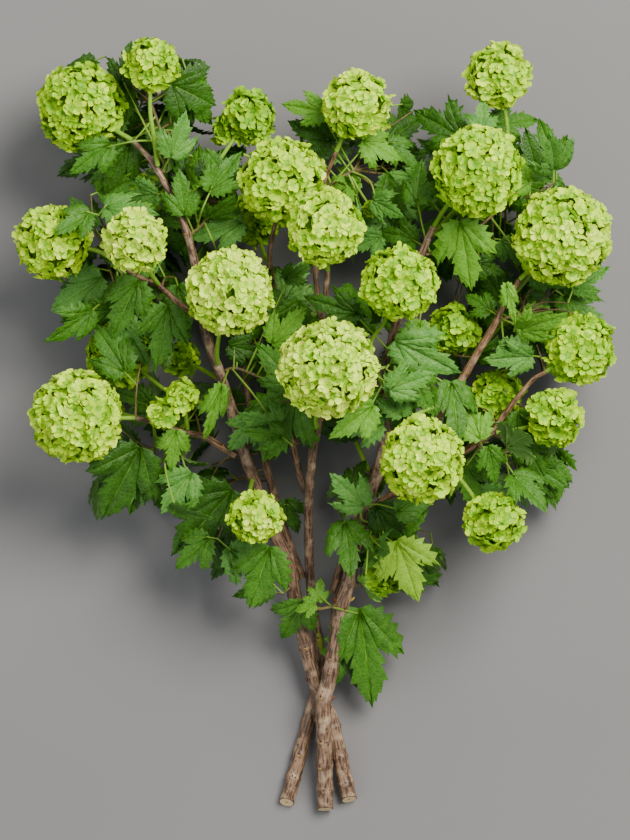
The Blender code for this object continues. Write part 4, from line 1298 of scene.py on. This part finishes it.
# Length of one step and sides of the bark, on stems and on the thinner boughs
STEM_STEP, BOUGH_STEP = 1.6, 2.2
STEM_SIDES, BOUGH_SIDES = 24, 16
# Where the first node of a limb is, how far on the next ones are, and how far from a known one they stay
FIRST_NODE, NEXT_NODE, NODE_CLEAR = (8, 20), (24, 46), 12
# How high in shares of the radius and how broad in millimetres a node is, by chance and under a known scar
NODE_HEIGHT, NODE_WIDTH = (0.08, 0.15), (1.3, 2.1)
SCAR_NODE = (0.16, 1.7)
# Bark between nodes, in shares of the limb's radius: where it lies, its broad and its fine unevenness
BARK_LIES, BARK_BROAD, BARK_FINE = 0.955, 0.045, 0.03
# Rings of a cut face inside its rim: share of its radius and how far they stand out, then the middle
CUT_RINGS = [(0.90, 0.25), (0.80, 0.10), (0.45, 0.16), (0.16, 0.12)]
CUT_MIDDLE = 0.05
# A bud from foot to point in shares of its size: along it and radius
BUD = [(-0.3, 0.20), (0.25, 0.34), (0.7, 0.27), (1.15, 0.06)]
# Finishes of buds and scars
BROWN, TAN, RED = 0, 1, 2
# Where leaves left a crescent on the upper side of a stem: stem, right, down, size
STEM_SCARS = [
    ("right_stem", 331, 661, 2.6), ("right_stem", 329, 674, 2.2), ("right_stem", 321, 702, 3.0),
    ("right_stem", 321.5, 745, 3.4), ("right_stem", 320.5, 771, 4.0), ("right_stem", 323.5, 797, 3.0),
    ("middle_stem", 298.5, 762, 3.2), ("middle_stem", 292, 784, 2.8),
    ("left_stem", 346.5, 790, 2.6), ("left_stem", 341, 763, 2.4)]
# Buds that stand out: limb, right, down, size, finish
STEM_BUDS = [
    ("right_stem", 353, 604, 3.8, TAN), ("right_stem", 336, 601, 3.4, RED),
    ("right_stem", 345, 609, 3.0, RED), ("right_stem", 334, 704, 3.4, RED),
    ("left_stem", 306, 686, 2.8, BROWN), ("right_stem", 368, 540, 3.0, BROWN)]
# Share of the other nodes' sides that bear a scar, its size, and the height that keeps it off the floor
SCARRED, SCAR_SIZE, SCAR_LOWEST = 0.75, (1.8, 2.8), 1.5
# Green bark laid bare on a stem: limb, down of its middle, half its length down the plan
GREEN_STREAK = ("middle_stem", 647, 14)


def bark_swell(seed, length, known=()):
    """How the radius of a limb changes along it: ringed nodes every few centimetres and fine ridges.

    A node is (run along the limb, height, half width, turn of its two ears); known ones come first."""
    rng = random.Random(seed)
    nodes = list(known)
    run = rng.uniform(*FIRST_NODE)
    while run < length:
        node = (run, rng.uniform(*NODE_HEIGHT), rng.uniform(*NODE_WIDTH), rng.uniform(0, math.pi))
        if all(abs(run - other[0]) > NODE_CLEAR for other in known):
            nodes.append(node)
        run += rng.uniform(*NEXT_NODE)
    origin = Vector((seed * 7.3, seed * 1.9, 0))

    def swell(along, turn):
        reach = BARK_LIES
        for node_run, height, width, ears in nodes:
            if abs(along - node_run) < 3 * width:
                collar = 0.85 + 0.6 * abs(math.cos(turn - ears)) ** 6
                reach += height * collar * math.exp(-((along - node_run) / width) ** 2)
        around = Vector((math.cos(turn), math.sin(turn), 0))
        reach += BARK_BROAD * noise.noise(origin + around * 1.1 + Vector((0, 0, along * 0.06)))
        reach += BARK_FINE * noise.noise(origin + around * 4.0 + Vector((0, 0, along * 0.25)))
        return reach

    return swell, nodes


def add_cut_face(pile, ring, centre):
    """The sheared end of a stem: bark edge (finish 0), pale wood (1) and a small darker pith (2)."""
    points = [tuple(spot) for spot in ring]
    count = len(ring)
    middle = sum(ring, Vector()) / count
    ahead = (middle - centre).normalized()
    faces = []
    finishes = []
    for level, (share, out) in enumerate(CUT_RINGS):
        points += [tuple(middle.lerp(spot, share) + ahead * out) for spot in ring]
        low, high = level * count, (level + 1) * count
        for k in range(count):
            n = (k + 1) % count
            faces.append((low + n, low + k, high + k, high + n))
            finishes.append(0 if level == 0 else 1)
    last = len(CUT_RINGS) * count
    points.append(tuple(middle + ahead * CUT_MIDDLE))
    for k in range(count):
        faces.append((last + (k + 1) % count, last + k, len(points) - 1))
        finishes.append(2)
    pile.add(points, faces, finishes)


def add_bud(pile, spot, ahead, out, size, finish):
    """A plump pointed bud lying close along the limb."""
    lean = (ahead + out * 0.55).normalized()
    route = [(spot + lean * size * along, size * radius) for along, radius in BUD]
    add_tube(pile, smooth_route(route, size * 0.2), 7, finish)


def add_scar(pile, spot, ahead, out, size, finish=TAN):
    """The crescent that a fallen leaf left under its bud."""
    aside = out.cross(ahead).normalized()
    arc = []
    for k in range(5):
        turn = math.pi * (k / 4 - 0.5)
        horn = abs(math.sin(turn))
        bow = aside * math.sin(turn) * 0.5 - ahead * math.cos(turn) * 0.36
        arc.append((spot + bow * size - out * size * 0.10 * horn, size * (0.17 - 0.06 * horn)))
    add_tube(pile, smooth_route(arc, size * 0.2), 6, finish)
    add_bud(pile, spot + ahead * size * 0.05 - out * size * 0.1, ahead, out, size * 0.8, BROWN)


def on_surface(fine, frames, right, down):
    """The place on a limb's upper side under a spot of the plan, the ways ahead and out, run and turn."""
    spot = place((right, down, 0))
    at = min(range(1, len(fine) - 1), key=lambda k: (fine[k][0].xy - spot.xy).length)
    point, radius = fine[at]
    aside = spot.xy - point.xy
    reach = min(1.0, aside.length / radius)
    out = Vector((*(aside.normalized() * reach), math.sqrt(1 - reach * reach)))
    ahead, side, across = frames[at]
    out = (out - ahead * out.dot(ahead)).normalized()
    turn = math.atan2(out.dot(across), out.dot(side))
    return point + out * radius, ahead, out, length_of(fine[:at + 1]), turn


def add_node_scars(pile, rng, nodes, fine, frames, step):
    """Scars at most of a limb's nodes, on two sides of it."""
    run = 0.0
    for at in range(1, len(fine) - 1):
        point, radius = fine[at]
        run += (point - fine[at - 1][0]).length
        ahead, side, across = frames[at]
        for node_run, height, _, ears in nodes:
            if abs(node_run - run) > step / 2:
                continue
            for turn in (ears, ears + math.pi):
                out = outward(side, across, turn)
                spot = point + out * radius * (0.97 + height)
                if rng.random() < SCARRED and spot.z > SCAR_LOWEST:
                    size = rng.uniform(*SCAR_SIZE) * min(1.0, radius / 4)
                    add_scar(pile, spot, ahead, out, size, rng.choice((BROWN, TAN, TAN)))


def lay_bare(pile, first_face, fine, rings):
    """Gives the bark of the green streak the second finish of its pile."""
    _, middle, half = GREEN_STREAK
    for i, (point, radius) in enumerate(fine[:-1]):
        down = PLAN_MIDDLE[1] - point.y / PLAN_STEP
        breadth = 0.75 * (1 - abs(down - middle) / half)
        for k, corner in enumerate(rings[i]):
            aside = (corner.x - point.x) / radius - 0.25
            if corner.z > point.z and abs(aside) < breadth:
                pile.finishes[first_face + i * len(rings[i]) + k] = 1


def add_limb(number, name, parent, route, bark, cuts, buds):
    """One limb with its bark, the scars and buds seen on it, and its cut face if it is a stem."""
    step, sides = (BOUGH_STEP, BOUGH_SIDES) if parent else (STEM_STEP, STEM_SIDES)
    fine = smooth_route(route, step)
    frames = ring_frames(spots_of(fine))
    known = []
    for limb, right, down, size in STEM_SCARS:
        if limb == name:
            spot, ahead, out, run, ears = on_surface(fine, frames, right, down)
            known.append((run, *SCAR_NODE, ears))
            add_scar(buds, spot + out * 0.5, ahead, out, size)
    for limb, right, down, size, finish in STEM_BUDS:
        if limb == name:
            spot, ahead, out, _, _ = on_surface(fine, frames, right, down)
            add_bud(buds, spot, ahead, out, size, finish)
    swell, nodes = bark_swell(number + 1, length_of(fine), known)
    first_face = len(bark.finishes)
    rings = add_tube(bark, fine, sides, 0, swell, 0.0 if parent else CUT_SLANT, bool(parent))
    if not parent:
        add_cut_face(cuts, rings[0], fine[1][0])
    if name == GREEN_STREAK[0]:
        lay_bare(bark, first_face, fine, rings)
    add_node_scars(buds, random.Random(50 + number), nodes[len(known):], fine, frames, step)


def make_limbs(limbs):
    stem_bark, bough_bark_painted_shade, cuts, buds = Pile(), Pile(), Pile(), Pile()
    for number, (name, parent, _, _) in enumerate(LIMBS):
        add_limb(number, name, parent, limbs[name], bough_bark_painted_shade if parent else stem_bark, cuts, buds)
    stems = [row[0] for row in LIMBS if row[1] is None]
    boughs = [row[0] for row in LIMBS if row[1] is not None]
    brown = young_bark("young_bark", "#907258", "#443124", "#D0B494", 0.40)
    # The boughs get a darker copy of the stems' bark: painted shade
    shade = young_bark("bough_bark_painted_shade", "#8C6A4C", "#432F1E", "#BC9E7A", 0.43)
    bare = soft_tissue("bare_green_bark", "#8E9E34", "#6E7A30", 0.5, 3.0, 0.2)
    stem_bark.build("bark_of_stems", "bark", [brown, bare], stems)
    bough_bark_painted_shade.build("bark_of_boughs", "bark", [shade], boughs)
    edge = cut_wood("cut_bark_edge", "#5E4632", "#46321F")
    wood = cut_wood("cut_sapwood", "#FBE2AE", "#F0CE92")
    pith = cut_wood("pith", "#B8945E", "#A07C4C")
    cuts.build("cut_faces", "bark", [edge, wood, pith])
    bud_brown = soft_tissue("bud_scale_brown", "#6A4A34", "#4E3626", 0.45, 1.5, 0.2)
    bud_tan = soft_tissue("bud_scar_tan", "#CDA850", "#A8863A", 0.55, 1.5, 0.2)
    bud_red = soft_tissue("bud_scale_red", "#84482C", "#5E3222", 0.45, 1.5, 0.2)
    buds.build("stem_buds", "bark", [bud_brown, bud_tan, bud_red])


# ---------------------------------------------------------------- leaves

# The upper side of a leaf, the clouds in it and its veins. Deep, mid and fresh are darker and lighter
# copies of one green and carry painted shade and painted light as they are dealt out; the bluish one is a
# painted reflection of the sky on the leaf
LEAF_COLOURS = {
    "deep": ("#234A04", "#2F5E0A", "#5C8628"),
    "mid": ("#34650E", "#417817", "#76A038"),
    "fresh": ("#548E18", "#66A028", "#94BC50"),
    "bluish_painted_reflection": ("#447E28", "#5C9436", "#8CB462"),
    "lime": ("#76A818", "#8ABA28", "#B4D45C"),
}
LEAF_BACK = ("#648E3E", "#74A04E", "#98B86C")
# Rows of points from a main vein to the rim, on the leaves of the solids and on the smaller ones
FULL_COLUMNS = (0.0, VEIN_SHARE, 0.34, 0.68, 1.0)
PLAIN_COLUMNS = (0.0, VEIN_SHARE, 0.5, 1.0)
FULL_PATTERNS, PLAIN_PATTERNS = 8, 5
# Leaves that hang behind a stem: mass and place in it, move in millimetres
LEAF_MOVES = {("leaves_foot", 0): (8, 0, -26), ("leaves_foot", 4): (-12, 10, -14)}
# A leaf that had fallen off: mass and place in it
BARE_PLACE = ("leaves_foot", 5)
# Above this height a leaf shows its upper side to the sky, and one that stands on edge leans over
TURNED_UP, ON_EDGE, LEANS_OVER = 30, 0.35, 0.5
# A leaf without a shade of its own is a lighter one above the first height, as painted light, and a darker
# one below the second, as painted shade
PAINTED_LIGHT_ABOVE, PAINTED_SHADE_BELOW = 120, 60
# Length of one step and sides: stalks of leaves, shoots, finer twigs. No shoot is longer than the last.
LEAF_STALK_STEP, LEAF_STALK_SIDES = 5.0, 5
SHOOT_STEP, SHOOT_SIDES = 3.0, 10
FINE_TWIG_STEP, FINE_TWIG_SIDES = 6.0, 6
LONGEST_SHOOT = 400
# Leaves given a shade of their own: mass and row, shade. Besides each leaf's own green, the darker shades,
# as on the top left mass, are partly painted shade and the lighter ones partly painted light
GIVEN_LEAF_SHADES = {
    ("leaves_upper_right", 4): "fresh", ("leaves_centre", 2): "bluish_painted_reflection", ("leaves_foot", 0): "mid",
    ("leaves_foot", 1): "fresh", ("leaves_upper_left", 1): "bluish_painted_reflection", ("leaves_lower_left", 0): "deep",
    ("leaves_low_left", 0): "deep", ("leaves_low_left", 1): "mid", ("leaves_left", 3): "mid",
    ("leaves_middle_left", 0): "fresh", ("leaves_middle_left", 2): "mid", ("leaves_right", 0): "fresh",
    ("leaves_low_right", 2): "lime", ("leaves_centre", 1): "bluish_painted_reflection", ("leaves_lower_right", 0): "fresh",
    ("leaves_upper_middle", 4): "bluish_painted_reflection", ("leaves_low_right", 0): "deep",
    ("leaves_top_left", 0): "deep", ("leaves_top_left", 2): "deep", ("leaves_top_left", 3): "deep",
    ("leaves_top_left", 4): "mid", ("leaves_upper_left", 0): "deep",
}


def leaf_shade(name, leaf, middle, rng):
    """The shade named for a leaf, or one by chance; a leaf that is not listed gets a lighter one high in
    the bunch, as painted light, and a darker one low down, as painted shade.
    """
    if (name, leaf.row) in GIVEN_LEAF_SHADES:
        return GIVEN_LEAF_SHADES[(name, leaf.row)]
    if leaf.row is not None:
        return rng.choice(("mid", "mid", "deep", "fresh", "bluish_painted_reflection"))
    if middle.z > PAINTED_LIGHT_ABOVE:
        return rng.choice(("mid", "fresh", "fresh", "bluish_painted_reflection"))
    if middle.z > PAINTED_SHADE_BELOW:
        return rng.choice(("deep", "mid", "mid", "bluish_painted_reflection"))
    return rng.choice(("deep", "deep", "mid"))


def stalk_of(leaf, shift, limbs):
    """A leaf's stalk, moved at its top as the leaf is. A moved filling leaf springs from a stem instead."""
    foot, (top, radius) = leaf.stalk[:-1], leaf.stalk[-1]
    if shift.length and leaf.row is None:
        stems = [spots_of(limbs[limb]) for limb in ("left_stem", "right_stem")]
        foot = [(nearest_of(stems, leaf.base + shift), PETIOLE_R)]
    return foot + [(top + shift, radius)]


def make_leaves(limbs, shoots, leaves, extra, fine_twigs):
    rng = random.Random(21)
    full_patterns = [leaf_pattern(rng, FULL_COLUMNS) for _ in range(FULL_PATTERNS)]
    plain_patterns = [leaf_pattern(rng, PLAIN_COLUMNS) for _ in range(PLAIN_PATTERNS)]
    piles = {shade: Pile() for shade in LEAF_COLOURS}
    petioles, twigs = Pile(), Pile()
    for number, name in enumerate(leaves):
        rng = random.Random(500 + number)
        for group, patterns in ((leaves[name], full_patterns), (extra[name], plain_patterns)):
            for at, leaf in enumerate(group):
                # Only leaves of the solids are moved or left out
                own_place = (name, at) if group is leaves[name] else None
                if own_place == BARE_PLACE:
                    continue
                middle = (leaf.base + leaf.tip) / 2
                if leaf.normal.z < 0 and middle.z > TURNED_UP:
                    leaf.normal = -leaf.normal
                if abs(leaf.normal.z) < ON_EDGE and middle.z > TURNED_UP:
                    leaf.normal.z += LEANS_OVER
                shade = leaf_shade(name, leaf, middle, rng)
                shift = Vector(LEAF_MOVES.get(own_place, (0, 0, 0)))
                pattern = patterns[rng.randrange(len(patterns))]
                piles[shade].add(*leaf_points(pattern, leaf, rng, shift))
                stalk = smooth_route(stalk_of(leaf, shift, limbs), LEAF_STALK_STEP)
                add_tube(petioles, stalk, LEAF_STALK_SIDES)
        swell, _ = bark_swell(70 + number, LONGEST_SHOOT)
        add_tube(twigs, smooth_route(shoots[name], SHOOT_STEP), SHOOT_SIDES, swell=swell)
    for route in fine_twigs:
        add_tube(twigs, smooth_route(route, FINE_TWIG_STEP), FINE_TWIG_SIDES)
    back = soft_tissue("leaf_underside", LEAF_BACK[0], LEAF_BACK[1], 0.7, 6.0, 0.3)
    back_vein = soft_tissue("leaf_underside_vein", LEAF_BACK[2], LEAF_BACK[1], 0.7, 6.0, 0.3)
    for shade, (base, second, vein) in LEAF_COLOURS.items():
        top = leaf_skin("leaf_" + shade, base, second, vein)
        line = soft_tissue("leaf_vein_" + shade, vein, second, 0.5, 5.0, 0.1)
        masses = list(leaves) if shade == "deep" else ()
        piles[shade].build("leaves_" + shade, "leaves", [top, line, back, back_vein], masses)
    green = soft_tissue("leaf_stalk", "#8AB040", "#789C34", 0.45, 20.0, 0.1)
    petioles.build("leaf_stalks", "leaves", [green])
    twigs.build("leafy_twigs", "leaves", [young_bark("twig_bark", "#7A6A3C", "#4F4526", "#8F8050")])


# ---------------------------------------------------------------- studio

FLOOR_HALF = 3.0
# Picture: height it covers at the focus, the middle it looks at, how high the camera hangs
FRAME_HEIGHT = 0.672
PICTURE_MIDDLE = (-0.0004, 0.0068)
EYE_HEIGHT = 5.0
FOCUS_HEIGHT = 0.12
# Lamps: name, place, what it looks at, size, power, tint
LAMPS = [
    ("key", (0.95, 1.05, 2.15), (0, 0.05, 0.1), 1.5, 114, "#FFFAF2"),
    ("fill", (-1.6, -0.6, 1.8), (0, 0, 0.1), 2.0, 12, "#F4F7FF")]
SKY_TINT, SKY_STRENGTH = "#EDEFF2", 0.53


def make_floor():
    mesh = bpy.data.meshes.new("floor")
    corners = [(x * FLOOR_HALF, y * FLOOR_HALF, 0.0) for x, y in ((-1, -1), (1, -1), (1, 1), (-1, 1))]
    mesh.from_pydata(corners, [], [(0, 1, 2, 3)])
    mesh.materials.append(matt_paper("grey_paper", "#828181", "#7C7B7B"))
    floor = bpy.data.objects.new("floor", mesh)
    bpy.context.scene.collection.objects.link(floor)


def add_light(name, spot, target, size, power, tint):
    lamp = bpy.data.lights.new(name, "AREA")
    lamp.shape = "DISK"
    lamp.size = size
    lamp.energy = power
    lamp.color = colour(tint)[:3]
    light = bpy.data.objects.new(name, lamp)
    bpy.context.scene.collection.objects.link(light)
    light.location = spot
    light.rotation_mode = "QUATERNION"
    light.rotation_quaternion = (Vector(target) - Vector(spot)).to_track_quat("-Z", "Y")


def make_sky():
    world = bpy.data.worlds.new("studio")
    bpy.context.scene.world = world
    world.use_nodes = True
    back = world.node_tree.nodes["Background"]
    back.inputs["Color"].default_value = colour(SKY_TINT)
    back.inputs["Strength"].default_value = SKY_STRENGTH


def make_camera():
    """Straight above the lying bunch, with a long lens, so that the picture keeps the plan's shapes."""
    data = bpy.data.cameras.new("camera")
    camera = bpy.data.objects.new("camera", data)
    bpy.context.scene.collection.objects.link(camera)
    half = math.atan(FRAME_HEIGHT / 2 / (EYE_HEIGHT - FOCUS_HEIGHT))
    data.lens = data.sensor_width / 2 / math.tan(half)
    data.clip_end = 50
    camera.location = (*PICTURE_MIDDLE, EYE_HEIGHT)
    bpy.context.scene.camera = camera


def main():
    taken = Taken()
    limbs = grow_limbs(taken)
    stalks = grow_heads(taken)
    shoots, leaves = grow_leaves(taken)
    extra, fine_twigs = grow_fine_twigs(taken, limbs, shoots)
    make_limbs(limbs)
    make_heads(stalks)
    make_leaves(limbs, shoots, leaves, extra, fine_twigs)
    make_floor()
    for lamp in LAMPS:
        add_light(*lamp)
    make_sky()
    make_camera()


main()
